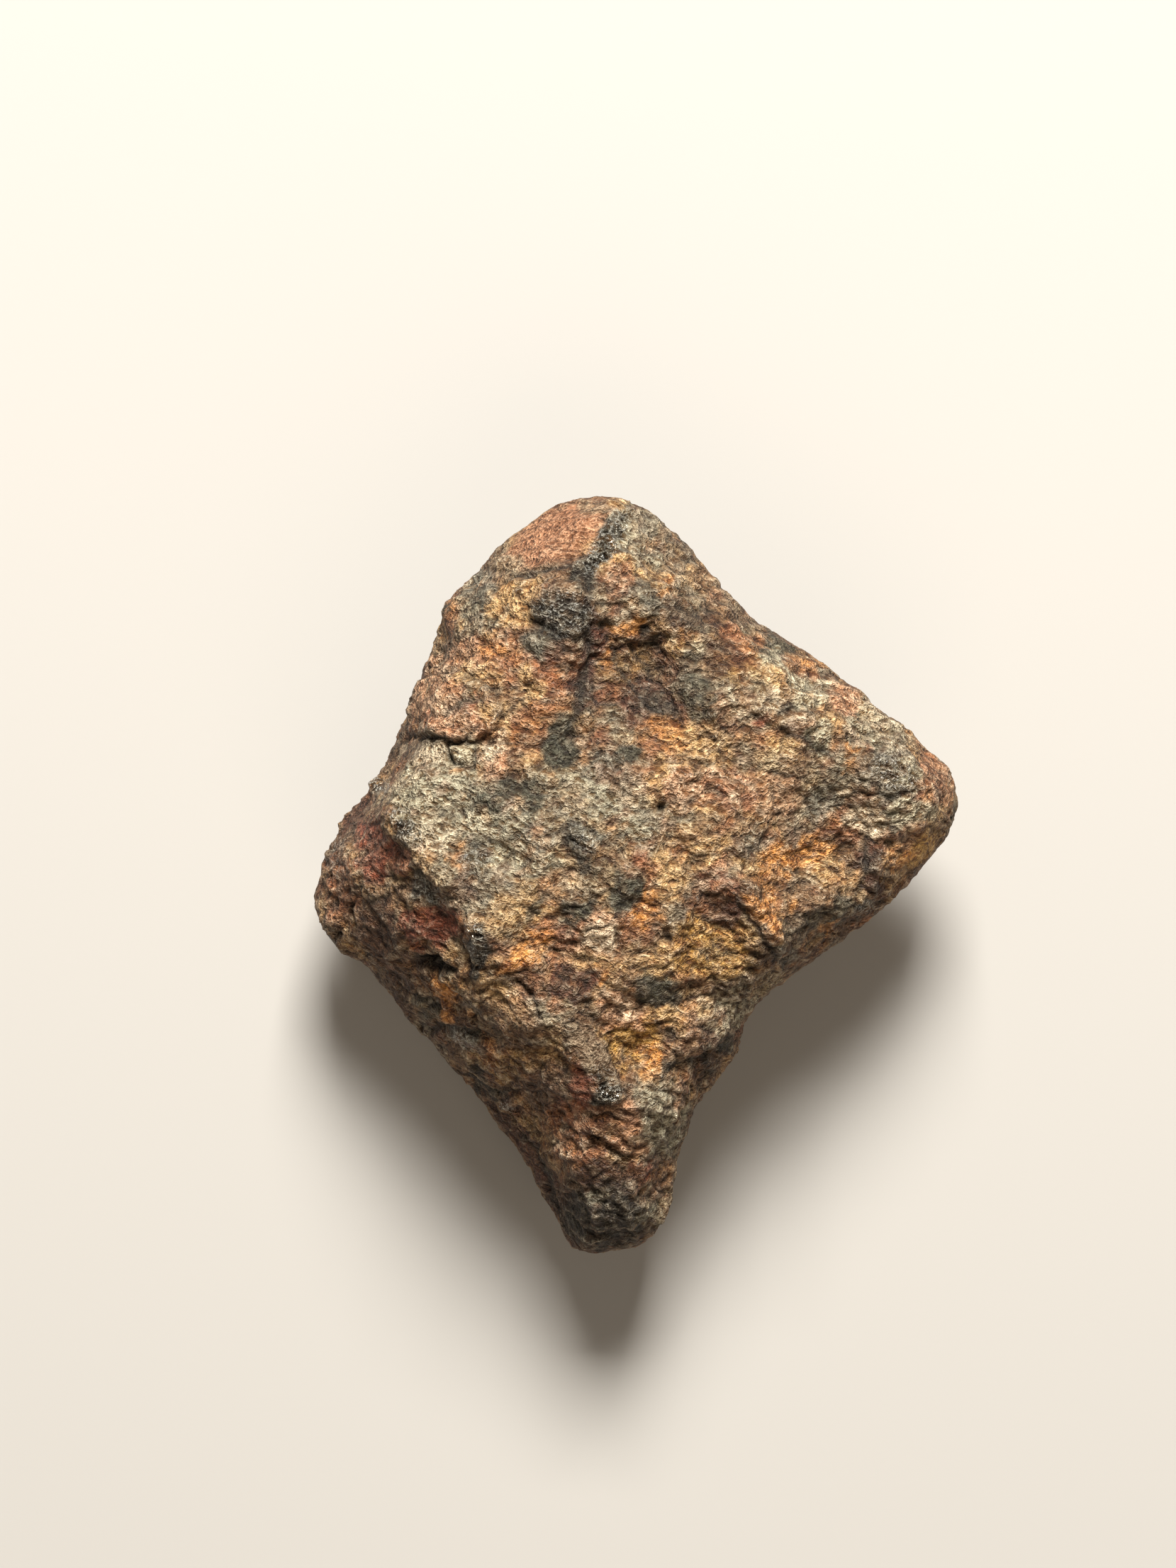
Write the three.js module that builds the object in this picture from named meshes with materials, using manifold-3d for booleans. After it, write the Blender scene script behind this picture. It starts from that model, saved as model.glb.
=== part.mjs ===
// A small iron meteorite: one solid lump of nickel-iron, four-cornered in plan, with a blunt knob
// at one end, a tapering prong at the other and hollows melted into its broad face.
// Millimetres, +Z up, the broad hollowed face uppermost. It rests on a small flat spot.
import * as THREE from "three";
import { ConvexHull } from "three/addons/math/ConvexHull.js";
import { ImprovedNoise } from "three/addons/math/ImprovedNoise.js";
import { mergeVertices } from "three/addons/utils/BufferGeometryUtils.js";
import Module from "manifold-3d";

// Driving dimensions
const LENGTH = 25; // knob to prong, along Y
const WIDTH = 21.2; // corner to corner, along X
const HEIGHT = 10.6; // flat spot to the highest crest, along Z

// How the surface is worked up from its landmarks
const BELT = { rise: 0.8, drop: 0.9, inset: 0.4 }; // the steep band on both sides of the outline
const EDGE = 0.72; // triangle edges longer than this are halved
const SOFTNESS = 0.4; // 0 keeps straight creases between landmarks, 1 rounds them fully
const LOOP = { ring: 0.375, sides: 0.25 }; // the weights of Loop's smooth surface
const RELAX = { passes: 4, along: 0.6, level: 0.12 }; // the share that points move each time
const HALF_TURN = Math.PI + 0.05; // a little over, so that no edge turns back and forth
const SAME_SIDE = 0.8; // a turned edge may tilt its two faces by up to this cosine
const FACING_DOWN = -1e-6; // hull faces with a lower normal than this belong to its underside

// Creased lumps: their spacing, and their depth on the upper and on the lower side
const LUMPS = [
  { wavelength: 5.2, above: 0, below: 1.5 },
  { wavelength: 3.1, above: 0.6, below: 1.1 },
  { wavelength: 1.55, above: 0.45, below: 0.6 },
];
const LUMPS_START = new THREE.Vector3(31, 17, 5); // where the lumps' pattern is taken from
const MEAN_CREASE = 0.25; // about the mean of the pattern's absolute value, so lumps add no volume
const SPOT_DEPTH = 0.25; // how far the underside reaches below the floor before it is cut flat

// The outline seen from above, anticlockwise from the knob, as [x, y, z of the widest point]
const OUTLINE = [
  [-1.0, 12.6, 6.4], [-1.9, 12.5, 6.2], [-2.85, 12.35, 6.0], [-3.5, 11.8, 5.8], [-4.15, 11.4, 5.6],
  [-4.8, 10.9, 5.4], [-5.4, 10.15, 5.2], [-6.15, 9.5, 5.1], [-6.65, 8.8, 5.0], [-6.85, 7.8, 4.8],
  [-7.1, 6.95, 4.2], [-7.55, 6.0, 3.5], [-7.95, 5.0, 3.1], [-8.35, 4.1, 2.9], [-8.85, 3.1, 2.8],
  [-9.5, 2.4, 2.9], [-10.1, 1.7, 3.2], [-10.55, 1.0, 3.5], [-10.75, 0.0, 3.8], [-10.8, -1.1, 4.0],
  [-10.55, -2.0, 4.0], [-9.8, -2.65, 3.9], [-9.0, -3.15, 3.8], [-8.4, -3.85, 3.6], [-7.85, -4.7, 3.4],
  [-7.3, -5.35, 3.3], [-6.5, -6.0, 3.2], [-6.05, -6.75, 3.0], [-5.35, -7.35, 2.8], [-4.85, -8.15, 2.6],
  [-4.15, -8.95, 2.5], [-3.65, -9.8, 2.5], [-3.15, -10.6, 2.6], [-2.75, -11.4, 2.8], [-2.4, -12.15, 3.1],
  [-1.7, -12.6, 3.4], [-0.8, -12.5, 3.6], [0.2, -12.2, 3.8], [0.85, -11.75, 4.0], [1.25, -10.9, 4.1],
  [1.35, -10.0, 4.2], [1.55, -9.1, 4.4], [1.85, -8.2, 4.5], [2.25, -7.35, 4.6], [2.8, -6.6, 4.7],
  [3.4, -5.75, 4.8], [3.6, -4.95, 4.9], [4.1, -4.25, 4.9], [4.8, -3.65, 4.9], [5.55, -3.0, 4.9],
  [6.3, -2.4, 4.9], [7.2, -1.95, 4.9], [8.0, -1.4, 4.9], [8.65, -0.6, 4.9], [9.45, 0.05, 4.9],
  [10.1, 0.8, 5.0], [10.4, 1.45, 5.0], [10.75, 2.1, 5.0], [10.55, 3.05, 5.1], [10.25, 3.8, 5.2],
  [9.4, 4.45, 5.4], [8.7, 5.2, 5.5], [8.0, 5.7, 5.6], [7.1, 6.2, 5.7], [6.4, 6.85, 5.8],
  [5.6, 7.45, 5.9], [4.8, 7.95, 6.0], [4.0, 8.45, 6.1], [3.3, 9.0, 6.2], [2.85, 9.65, 6.2],
  [2.2, 10.35, 6.2], [1.6, 11.0, 6.2], [1.0, 11.55, 6.3], [0.35, 12.05, 6.4], [-0.4, 12.4, 6.4],
];

// The broad face, feature by feature
const TOP = {
  knobCrest: [[-1.0, 11.6, 8.0], [-0.9, 10.9, 8.7], [-1.5, 10.2, 9.1]],
  knobFacet: [[-2.4, 11.5, 7.7], [-3.4, 10.8, 7.7], [-2.6, 10.4, 8.6], [-4.4, 10.1, 7.6]],
  crustLump: [[-3.2, 9.2, 9.0], [-2.2, 9.2, 9.5], [-1.5, 9.3, 9.4], [-2.6, 8.2, 9.3], [-2.0, 7.9, 9.5]],
  groove: [[-1.3, 7.8, 8.8], [-1.4, 6.8, 8.7], [-1.7, 5.9, 8.8]],
  ribs: [[-0.5, 9.8, 8.7], [0.3, 9.7, 8.5]],
  lip: [[-0.9, 8.6, 9.5], [0.0, 8.8, 9.4], [0.9, 8.8, 9.1]],
  scoop: [
    [-0.6, 7.8, 8.3], [0.5, 7.8, 7.8], [-0.2, 6.9, 8.3], [0.6, 6.6, 8.1], [-0.7, 5.9, 9.0],
    [0.5, 5.3, 8.8],
  ],
  scoopWall: [[1.3, 7.9, 8.8], [1.4, 6.9, 8.9], [1.7, 5.9, 9.2]],
  knobSlope: [[0.6, 11.0, 8.0], [1.5, 9.9, 8.0], [2.2, 9.0, 8.0]],
  rightSlope: [
    [2.4, 7.9, 8.5], [3.4, 7.8, 7.9], [3.0, 6.9, 8.8], [4.4, 7.0, 8.0], [5.6, 6.4, 7.7],
    [6.7, 5.6, 7.5], [7.8, 4.9, 7.3],
  ],
  rightCrest: [
    [2.7, 5.8, 9.3], [3.9, 5.6, 9.1], [5.1, 5.4, 8.8], [6.2, 4.9, 8.6], [7.2, 4.0, 8.4],
    [8.1, 3.2, 8.2], [8.9, 2.4, 7.9], [9.5, 1.7, 7.3],
  ],
  cornerSlope: [[8.7, 3.8, 7.8], [9.6, 3.0, 7.4], [9.4, 0.9, 6.3], [8.8, 0.2, 6.3]],
  basinWall: [
    [3.3, 4.7, 9.0], [4.7, 4.5, 8.5], [5.8, 3.9, 8.1], [6.7, 2.9, 7.8], [7.7, 2.1, 7.5],
    [8.3, 1.3, 7.1],
  ],
  basin: [
    [2.0, 4.4, 9.1], [2.3, 3.2, 9.0], [4.2, 3.0, 8.5], [1.6, 2.0, 9.2], [3.4, 1.6, 8.8],
    [5.2, 1.7, 7.6], [6.6, 1.2, 6.9], [5.0, 0.2, 7.5], [6.4, 0.0, 7.2],
  ],
  cornerRidge: [[8.0, 0.4, 7.3], [7.7, -0.5, 7.0]],
  basinSill: [[6.1, -0.8, 7.8], [5.3, -1.6, 7.9], [6.9, -1.2, 7.2]],
  strip: [
    [3.1, 0.4, 9.2], [3.6, -0.6, 9.2], [4.1, -1.6, 8.9], [4.7, -2.6, 7.9], [4.4, -0.6, 7.9],
    [4.8, -1.4, 7.6],
  ],
  stripShade: [[2.6, -0.8, 8.5], [3.1, -1.9, 8.1], [3.8, -3.0, 7.5]],
  lowerMiddle: [
    [1.4, 0.3, 9.2], [1.5, -1.2, 9.1], [0.3, -1.0, 9.4], [2.0, -2.6, 8.6], [0.7, -2.6, 9.0],
    [1.0, -3.8, 8.2], [2.6, -3.9, 7.8], [-0.3, -3.3, 8.8],
  ],
  centre: [
    [-0.6, 1.4, 9.8], [-0.9, 0.0, 9.6], [-1.3, -1.5, 9.6], [-2.3, 0.3, 9.6], [-2.2, 4.3, 9.1],
    [-1.5, 3.0, 9.4], [0.3, 3.0, 9.4], [0.3, 4.3, 9.1], [-2.8, 2.1, 9.6],
  ],
  leftSlope: [
    [-5.2, 9.1, 7.6], [-4.2, 9.2, 8.2], [-5.8, 8.0, 7.5], [-4.4, 8.0, 8.5], [-5.9, 6.8, 7.8],
    [-4.6, 6.7, 8.7], [-3.2, 7.0, 9.1], [-2.3, 6.6, 9.2], [-3.2, 5.6, 9.3], [-4.4, 5.4, 9.3],
    [-5.6, 5.5, 9.0], [-6.5, 5.3, 8.2],
  ],
  plateau: [
    [-7.1, 4.0, 8.1], [-5.9, 4.1, 8.6], [-4.6, 3.9, 8.9], [-8.0, 3.0, 8.2], [-6.4, 2.5, 9.1],
    [-4.8, 2.3, 9.3], [-3.6, 3.2, 9.2], [-5.6, 0.9, 9.5], [-4.0, 0.6, 9.5],
  ],
  leftCrest: [
    [-8.3, 2.3, 8.1], [-7.7, 1.5, 9.0], [-6.9, 0.7, 9.4], [-6.0, -0.3, 9.7], [-5.3, -1.4, 10.0],
    [-4.9, -2.5, 9.7], [-4.2, -3.3, 9.4], [-3.4, -4.2, 9.1], [-2.6, -5.0, 8.9], [-1.9, -5.9, 8.7],
    [-1.1, -6.8, 8.4],
  ],
  belowCrest: [
    [-4.2, -0.9, 9.5], [-3.7, -2.2, 9.1], [-2.6, -1.5, 9.4], [-2.7, -3.2, 8.8], [-1.4, -2.8, 9.0],
    [-1.7, -4.3, 8.6],
  ],
  orangeHollow: [[-0.6, -4.6, 8.0], [-0.8, -5.8, 7.7], [0.1, -5.9, 7.2], [0.6, -4.9, 7.8]],
  lowerLip: [[2.5, -5.0, 7.6], [1.6, -5.7, 7.8], [0.8, -6.5, 7.9], [0.0, -7.2, 7.9]],
  lowerSlope: [[2.3, -6.1, 6.7], [1.4, -7.2, 6.8], [0.9, -8.3, 6.7]],
  leftFlank: [
    [-9.7, 0.9, 5.7], [-8.8, 0.6, 7.1], [-7.9, -0.3, 7.8], [-9.9, -0.7, 5.6], [-8.9, -1.4, 6.2],
    [-7.6, -1.6, 7.4], [-6.5, -1.5, 8.6], [-9.3, -2.1, 5.2], [-8.2, -2.8, 5.8], [-7.0, -2.9, 6.9],
    [-5.9, -2.9, 8.1], [-7.5, -3.9, 5.4], [-6.5, -4.2, 6.4], [-5.3, -4.1, 7.8], [-6.6, -5.1, 5.2],
    [-5.6, -5.3, 6.5], [-4.3, -5.1, 7.8], [-5.5, -6.3, 4.9], [-4.5, -6.4, 6.0], [-3.5, -6.1, 7.3],
    [-2.5, -6.6, 7.6], [-4.5, -7.5, 4.5], [-3.5, -7.4, 5.7], [-2.4, -7.8, 7.0], [-9.0, 1.7, 5.9],
  ],
  prong: [
    [-1.3, -7.7, 7.6], [-0.2, -8.3, 7.4], [-0.9, -8.9, 7.3], [-0.1, -9.3, 6.7], [-1.9, -8.9, 6.9],
    [-2.8, -8.9, 5.8], [-3.5, -8.8, 4.4], [-0.9, -10.0, 6.6], [-1.8, -10.1, 6.4], [-2.5, -10.0, 5.6],
    [0.6, -9.6, 6.3], [-0.1, -10.7, 6.2], [-1.1, -11.2, 6.1], [-1.8, -11.3, 5.4], [0.2, -11.5, 5.4],
  ],
};

// The underside: arms that rise clear of the floor, a belly, and the spot that it rests on
const UNDERSIDE = {
  knob: [[-1.0, 11.0, 4.2], [-2.8, 10.4, 3.6], [0.6, 10.2, 4.0], [-1.2, 9.0, 3.2]],
  knobShoulder: [[-4.2, 9.2, 2.6], [-5.4, 7.6, 2.2], [1.8, 8.6, 3.2], [3.2, 7.6, 3.3]],
  upperHollow: [[-1.8, 7.2, 2.4], [0.6, 7.0, 2.6], [-0.6, 5.4, 1.5]],
  leftArm: [
    [-5.8, 5.6, 1.3], [-6.8, 3.8, 1.2], [-7.6, 2.0, 1.4], [-8.8, 0.6, 1.9], [-9.2, -1.1, 2.2],
    [-7.8, -0.6, 1.2], [-7.4, -2.6, 1.9],
  ],
  rightArm: [
    [5.0, 6.2, 3.1], [4.2, 4.4, 1.8], [6.6, 4.6, 3.0], [8.4, 3.4, 3.2], [9.2, 1.9, 3.1],
    [7.2, 2.2, 2.2], [8.0, 0.4, 2.8], [6.2, -0.6, 2.3],
  ],
  lowerHollow: [
    [3.6, -2.2, 1.9], [4.8, -1.2, 2.2], [2.0, -4.6, 2.2], [3.0, -3.6, 2.4], [-5.4, -3.6, 1.7],
    [-6.2, -4.4, 2.1],
  ],
  prong: [
    [-4.4, -6.2, 1.5], [-3.0, -8.0, 1.3], [-2.4, -6.2, 0.8], [-1.4, -9.8, 1.5], [-1.3, -11.2, 2.0],
    [0.2, -9.2, 2.2], [0.6, -7.2, 1.9], [-0.6, -7.8, 1.3],
  ],
  belly: [
    [-3.6, 5.0, 0.7], [-5.4, 3.4, 0.5], [-5.8, 1.2, 0.4], [-5.6, -1.2, 0.6], [-4.6, -2.8, 0.6],
    [-3.8, -4.6, 0.7], [-1.4, -5.0, 0.5], [0.8, -3.6, 0.7], [2.6, -1.4, 0.8], [4.2, 0.4, 1.0],
    [4.4, 2.4, 1.0], [2.6, 4.2, 0.9], [0.8, 4.6, 0.9], [-1.4, 4.4, 0.6],
  ],
  restingSpot: [
    [-3.6, 2.8], [-1.2, 3.0], [1.2, 2.8], [2.6, 1.0], [1.8, -1.0], [0.0, -2.4],
    [-2.2, -2.8], [-3.8, -1.2], [-4.2, 0.8], [-2.4, 0.8], [-1.0, -0.6], [0.6, 1.0],
  ].map(([x, y]) => [x, y, -SPOT_DEPTH]),
};

const pattern = new ImprovedNoise();

function toPoints(groups) {
  return Object.values(groups).flat().map((p) => new THREE.Vector3(...p));
}

function meanOf(points) {
  const sum = points.reduce((total, p) => total.add(p), new THREE.Vector3());
  return sum.divideScalar(points.length);
}

// The outline moved inwards and up or down, as one loop of points.
function offsetLoop(loop, inset, lift) {
  return loop.map((p, i) => {
    const before = loop[(i + loop.length - 1) % loop.length];
    const after = loop[(i + 1) % loop.length];
    const along = after.clone().sub(before).setZ(0).normalize();
    const outwards = new THREE.Vector3(along.y, -along.x, 0);
    return p.clone().addScaledVector(outwards, -inset).setZ(p.z + lift);
  });
}

function isInside(loop, x, y) {
  let inside = false;
  loop.forEach((a, i) => {
    const b = loop[(i + 1) % loop.length];
    const crosses = a.y > y !== b.y > y;
    if (crosses && x < a.x + ((b.x - a.x) * (y - a.y)) / (b.y - a.y)) inside = !inside;
  });
  return inside;
}

// The Delaunay triangles, seen from above, of a loop and the landmarks inside it. They are the
// lower faces of the convex hull of the points lifted onto a paraboloid.
function triangulate(points, loop) {
  const lifted = points.map((p) => new THREE.Vector3(p.x, p.y, (p.x * p.x + p.y * p.y) / LENGTH));
  const numberOf = new Map(lifted.map((p, i) => [p, i]));
  const triangles = [];
  for (const face of new ConvexHull().setFromPoints(lifted).faces) {
    if (face.normal.z > FACING_DOWN) continue;
    const [a, b, c] = [0, 1, 2].map((i) => numberOf.get(face.getEdge(i).head().point));
    const middle = meanOf([points[a], points[b], points[c]]);
    if (isInside(loop, middle.x, middle.y)) triangles.push([a, c, b]);
  }
  return triangles;
}

// The closed net of landmarks: the broad face, the belt round the outline, and the underside.
function landmarkNet() {
  const outline = toPoints({ OUTLINE });
  const shoulder = offsetLoop(outline, BELT.inset, BELT.rise);
  const keel = offsetLoop(outline, BELT.inset, -BELT.drop);
  const top = toPoints(TOP);
  const underside = toPoints(UNDERSIDE);
  const points = [...outline, ...shoulder, ...keel, ...top, ...underside];
  const n = outline.length;
  const triangles = [];
  for (let i = 0; i < n; i++) {
    const j = (i + 1) % n;
    triangles.push([n + j, n + i, i], [n + j, i, j]);
    triangles.push([j, i, 2 * n + i], [j, 2 * n + i, 2 * n + j]);
  }
  const numberOf = new Map(points.map((p, i) => [p, i]));
  const addSheet = (sheet, loop) => {
    for (const triangle of triangulate(sheet, loop)) {
      triangles.push(triangle.map((k) => numberOf.get(sheet[k])));
    }
  };
  addSheet([...shoulder, ...top], shoulder);
  const upwards = triangles.length;
  addSheet([...keel, ...underside], keel);
  for (let k = upwards; k < triangles.length; k++) triangles[k].reverse();
  return { points, triangles };
}

function edgeKey(a, b) {
  return a < b ? a + "_" + b : b + "_" + a;
}

function neighboursOf({ points, triangles }) {
  const around = points.map(() => new Set());
  for (const [a, b, c] of triangles) {
    around[a].add(b).add(c);
    around[b].add(a).add(c);
    around[c].add(a).add(b);
  }
  return around;
}

// The two corners that face each edge.
function facingCorners({ triangles }) {
  const facing = new Map();
  for (const t of triangles) {
    t.forEach((a, i) => {
      const key = edgeKey(a, t[(i + 1) % 3]);
      if (!facing.has(key)) facing.set(key, []);
      facing.get(key).push(t[(i + 2) % 3]);
    });
  }
  return facing;
}

// The parts of a triangle with corners a, b, c and the middles of its cut edges.
function splitTriangle(corners, middles, points) {
  const count = middles.filter((m) => m !== undefined).length;
  // Turned so that the one cut edge, or the one edge that stays whole, comes first.
  let first = 0;
  if (count === 1) first = middles.findIndex((m) => m !== undefined);
  if (count === 2) first = middles.findIndex((m) => m === undefined);
  const [a, b, c] = [0, 1, 2].map((i) => corners[(i + first) % 3]);
  const [ab, bc, ca] = [0, 1, 2].map((i) => middles[(i + first) % 3]);
  if (count === 0) return [[a, b, c]];
  if (count === 1) return [[a, ab, c], [ab, b, c]];
  if (count === 3) return [[a, ab, ca], [ab, b, bc], [ca, bc, c], [ab, bc, ca]];
  const cutAtA = points[a].distanceTo(points[bc]) < points[b].distanceTo(points[ca]);
  const rest = cutAtA ? [[a, b, bc], [a, bc, ca]] : [[a, b, ca], [b, bc, ca]];
  return [[ca, bc, c], ...rest];
}

// One pass of subdivision: each edge over the limit gets a middle point, and points settle towards
// Loop's smooth surface by the share that SOFTNESS gives.
function refine(net, limit) {
  const { points, triangles } = net;
  const around = neighboursOf(net);
  const moved = points.map((p, i) => {
    const mean = meanOf([...around[i]].map((j) => points[j]));
    return p.clone().lerp(mean, SOFTNESS * LOOP.ring);
  });
  const middle = new Map();
  for (const [key, [c, d]] of facingCorners(net)) {
    const [a, b] = key.split("_").map(Number);
    if (points[a].distanceTo(points[b]) <= limit) continue;
    const straight = meanOf([points[a], points[b]]);
    const sides = meanOf([points[c], points[d]]);
    middle.set(key, moved.push(straight.lerp(sides, SOFTNESS * LOOP.sides)) - 1);
  }
  const split = triangles.flatMap((t) => {
    const middles = t.map((a, i) => middle.get(edgeKey(a, t[(i + 1) % 3])));
    return splitTriangle(t, middles, moved);
  });
  return { points: moved, triangles: split, cuts: middle.size };
}

function normalsOf({ points, triangles }) {
  const normals = points.map(() => new THREE.Vector3());
  const ab = new THREE.Vector3();
  const ac = new THREE.Vector3();
  for (const [a, b, c] of triangles) {
    ab.subVectors(points[b], points[a]);
    ac.subVectors(points[c], points[a]);
    ab.cross(ac);
    for (const k of [a, b, c]) normals[k].add(ab);
  }
  return normals.map((v) => v.normalize());
}

function faceNormal(points, triangle) {
  const corners = triangle.map((k) => points[k]);
  return new THREE.Triangle(...corners).getNormal(new THREE.Vector3());
}

function angleAt(points, corner, a, b) {
  const toA = points[a].clone().sub(points[corner]);
  const toB = points[b].clone().sub(points[corner]);
  return toA.angleTo(toB);
}

// Turns edges whose two facing angles add up to more than a half turn, which evens out slivers.
function flipEdges(net) {
  const { points, triangles } = net;
  const owners = new Map();
  triangles.forEach((t, k) => {
    t.forEach((a, i) => {
      const key = edgeKey(a, t[(i + 1) % 3]);
      owners.set(key, [...(owners.get(key) ?? []), k]);
    });
  });
  const around = neighboursOf(net);
  const busy = new Set();
  for (const [key, [k, l]] of owners) {
    if (busy.has(k) || busy.has(l)) continue;
    const [a, b] = key.split("_").map(Number);
    const c = triangles[k].find((v) => v !== a && v !== b);
    const d = triangles[l].find((v) => v !== a && v !== b);
    const facingAngles = angleAt(points, c, a, b) + angleAt(points, d, a, b);
    if (around[c].has(d) || facingAngles < HALF_TURN) continue;
    const i = triangles[k].indexOf(c);
    const [from, to] = [triangles[k][(i + 1) % 3], triangles[k][(i + 2) % 3]];
    const before = faceNormal(points, [c, from, to]);
    const halves = [[c, from, d], [c, d, to]];
    if (halves.some((half) => faceNormal(points, half).dot(before) < SAME_SIDE)) continue;
    [triangles[k], triangles[l]] = halves;
    around[c].add(d);
    around[d].add(c);
    busy.add(k).add(l);
  }
}

// Slides each point along the surface towards the middle of its neighbours, and sinks or lifts it
// a little towards their level.
function relax(net) {
  const around = neighboursOf(net);
  const normals = normalsOf(net);
  net.points = net.points.map((p, i) => {
    const pull = meanOf([...around[i]].map((j) => net.points[j])).sub(p);
    const level = normals[i].clone().multiplyScalar(pull.dot(normals[i]));
    const along = pull.clone().sub(level);
    return p.clone().addScaledVector(along, RELAX.along).addScaledVector(level, RELAX.level);
  });
}

// Creased lumps all over, along each point's own normal. They fade where the surface stands
// upright, so the outline seen from above keeps to its landmarks.
function addLumps(net) {
  const normals = normalsOf(net);
  net.points.forEach((p, i) => {
    const upwards = normals[i].z;
    let height = 0;
    for (const { wavelength, above, below } of LUMPS) {
      const at = p.clone().divideScalar(wavelength).add(LUMPS_START);
      const crease = MEAN_CREASE - Math.abs(pattern.noise(at.x, at.y, at.z));
      height += (upwards > 0 ? above : below) * crease;
    }
    p.addScaledVector(normals[i], height * Math.abs(upwards));
  });
}

function geometryOf({ points, triangles }) {
  return new THREE.BufferGeometry().setFromPoints(points).setIndex(triangles.flat());
}

function solidOf(wasm, geometry) {
  const bare = geometry.clone();
  bare.deleteAttribute("normal");
  bare.deleteAttribute("uv");
  const merged = mergeVertices(bare);
  return new wasm.Manifold(new wasm.Mesh({
    numProp: 3,
    vertProperties: merged.attributes.position.array,
    triVerts: new Uint32Array(merged.index.array),
  }));
}

// Cuts everything below the floor away, which leaves the flat spot.
async function cutFlat(geometry) {
  const wasm = await Module();
  wasm.setup();
  const below = new THREE.BoxGeometry(2 * WIDTH, 2 * LENGTH, HEIGHT).translate(0, 0, -HEIGHT / 2);
  const { vertProperties, triVerts } = solidOf(wasm, geometry).subtract(solidOf(wasm, below)).getMesh();
  const cut = new THREE.BufferGeometry();
  cut.setAttribute("position", new THREE.BufferAttribute(vertProperties, 3));
  return cut.setIndex(new THREE.BufferAttribute(triVerts, 1));
}

// Centres the stone over the origin and brings it to its driving dimensions.
function fitToSize(geometry) {
  geometry.computeBoundingBox();
  const size = geometry.boundingBox.getSize(new THREE.Vector3());
  const centre = geometry.boundingBox.getCenter(new THREE.Vector3());
  geometry.translate(-centre.x, -centre.y, -geometry.boundingBox.min.z);
  return geometry.scale(WIDTH / size.x, LENGTH / size.y, HEIGHT / size.z);
}

async function meteorite() {
  let net = landmarkNet();
  do net = refine(net, EDGE);
  while (net.cuts);
  for (let i = 0; i < RELAX.passes; i++) {
    flipEdges(net);
    relax(net);
  }
  addLumps(net);
  const geometry = fitToSize(await cutFlat(geometryOf(net)));
  geometry.computeVertexNormals();
  const rustedIron = new THREE.MeshStandardMaterial({
    color: 0x6f5a44,
    roughness: 0.75,
    metalness: 0.35,
  });
  const mesh = new THREE.Mesh(geometry, rustedIron);
  mesh.name = "meteorite";
  return mesh;
}

const group = new THREE.Group();
group.add(await meteorite());

export default group;
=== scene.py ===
"""A small iron meteorite lying on a pale table, seen from straight above.

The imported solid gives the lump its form. This script gives it its skin: a fine mesh of the same form with
crust, ledges, pits, cracks, a lifted flake and chips in the mesh itself, and rust in the material.
"""

import itertools
import math

import bpy
import numpy as np
from mathutils import Matrix, Vector


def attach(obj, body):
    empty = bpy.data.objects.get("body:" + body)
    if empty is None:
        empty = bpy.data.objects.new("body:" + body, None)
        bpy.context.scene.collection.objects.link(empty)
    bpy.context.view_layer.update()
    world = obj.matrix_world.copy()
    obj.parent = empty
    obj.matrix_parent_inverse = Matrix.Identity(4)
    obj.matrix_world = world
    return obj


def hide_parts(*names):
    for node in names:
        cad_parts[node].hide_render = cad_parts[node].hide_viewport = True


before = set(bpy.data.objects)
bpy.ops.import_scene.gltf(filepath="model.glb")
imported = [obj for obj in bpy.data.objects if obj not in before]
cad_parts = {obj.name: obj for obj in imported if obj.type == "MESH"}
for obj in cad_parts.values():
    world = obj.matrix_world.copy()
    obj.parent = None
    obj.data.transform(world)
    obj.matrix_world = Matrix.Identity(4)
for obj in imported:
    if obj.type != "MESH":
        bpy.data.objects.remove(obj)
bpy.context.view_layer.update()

MM = 0.001

# The photograph's frame, and where and how large the stone is in it
PHOTO_WIDTH, PHOTO_HEIGHT = 1659, 2212
STONE_CENTRE = (895.5, 1237.0)
PIXELS_PER_MM = 42.7
OUTLINE_HEIGHT = 5.0 * MM  # where the stone is widest
CAMERA_DISTANCE = 300 * MM
CLIP_START = 10 * MM
SENSOR = 36.0

# The fine mesh
VOXEL = 0.12  # in millimetres, as every length below but the lights' and the table's
SMOOTHING_PASSES = 6
FLOOR_ZONE = 0.3  # the skin goes back to the plain solid this near the floor
SINK = 0.05  # the relief is let into the solid by this much

# What the noise of the shape, of the hollows and of the colours starts from
SHAPE_SEEDS = (3, 8)
HOLLOW_SEED = 5
COLOUR_SEEDS = (21, 34)

# The crust's creased lumps and scalloped hollows: their size, height and depth, and how far they are bent
LUMP_SIZE, LUMP_HEIGHT = 1.7, 0.24
HOLLOW_SIZE, HOLLOW_DEPTH = 1.5, 0.19
FLANK_DEPTH = 0.22  # how much deeper the hollows are on the flanks
CRUST_BEND = 0.5

# The crust's scarps and ledges: how far they are turned from the X axis, in degrees, their heights, and
# their spacing, the share of each step that rises slowly, how far they wander and over what length
STEP_TURN = -12
SCARP_HEIGHT, LEDGE_HEIGHT = 0.14, 0.11
SCARPS = (1.1, 0.8, 1.3, 1.9)
LEDGES = (0.5, 0.75, 1.8, 1.3)
UPRIGHT_LOSS = 0.6  # how much of the crust's relief is lost on upright places

# The grain and the specks on it
GRAIN_SIZE, GRAIN_HEIGHT = 0.55, 0.13
SPECK_SIZE, SPECK_HEIGHT = 0.3, 0.03

# How far the outlines of forms and of colours are shifted to make them ragged, and over what length
RAGGED_LENGTH = 0.9
FORM_RAGGEDNESS = 0.25
PATCH_RAGGEDNESS = 0.7

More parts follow.
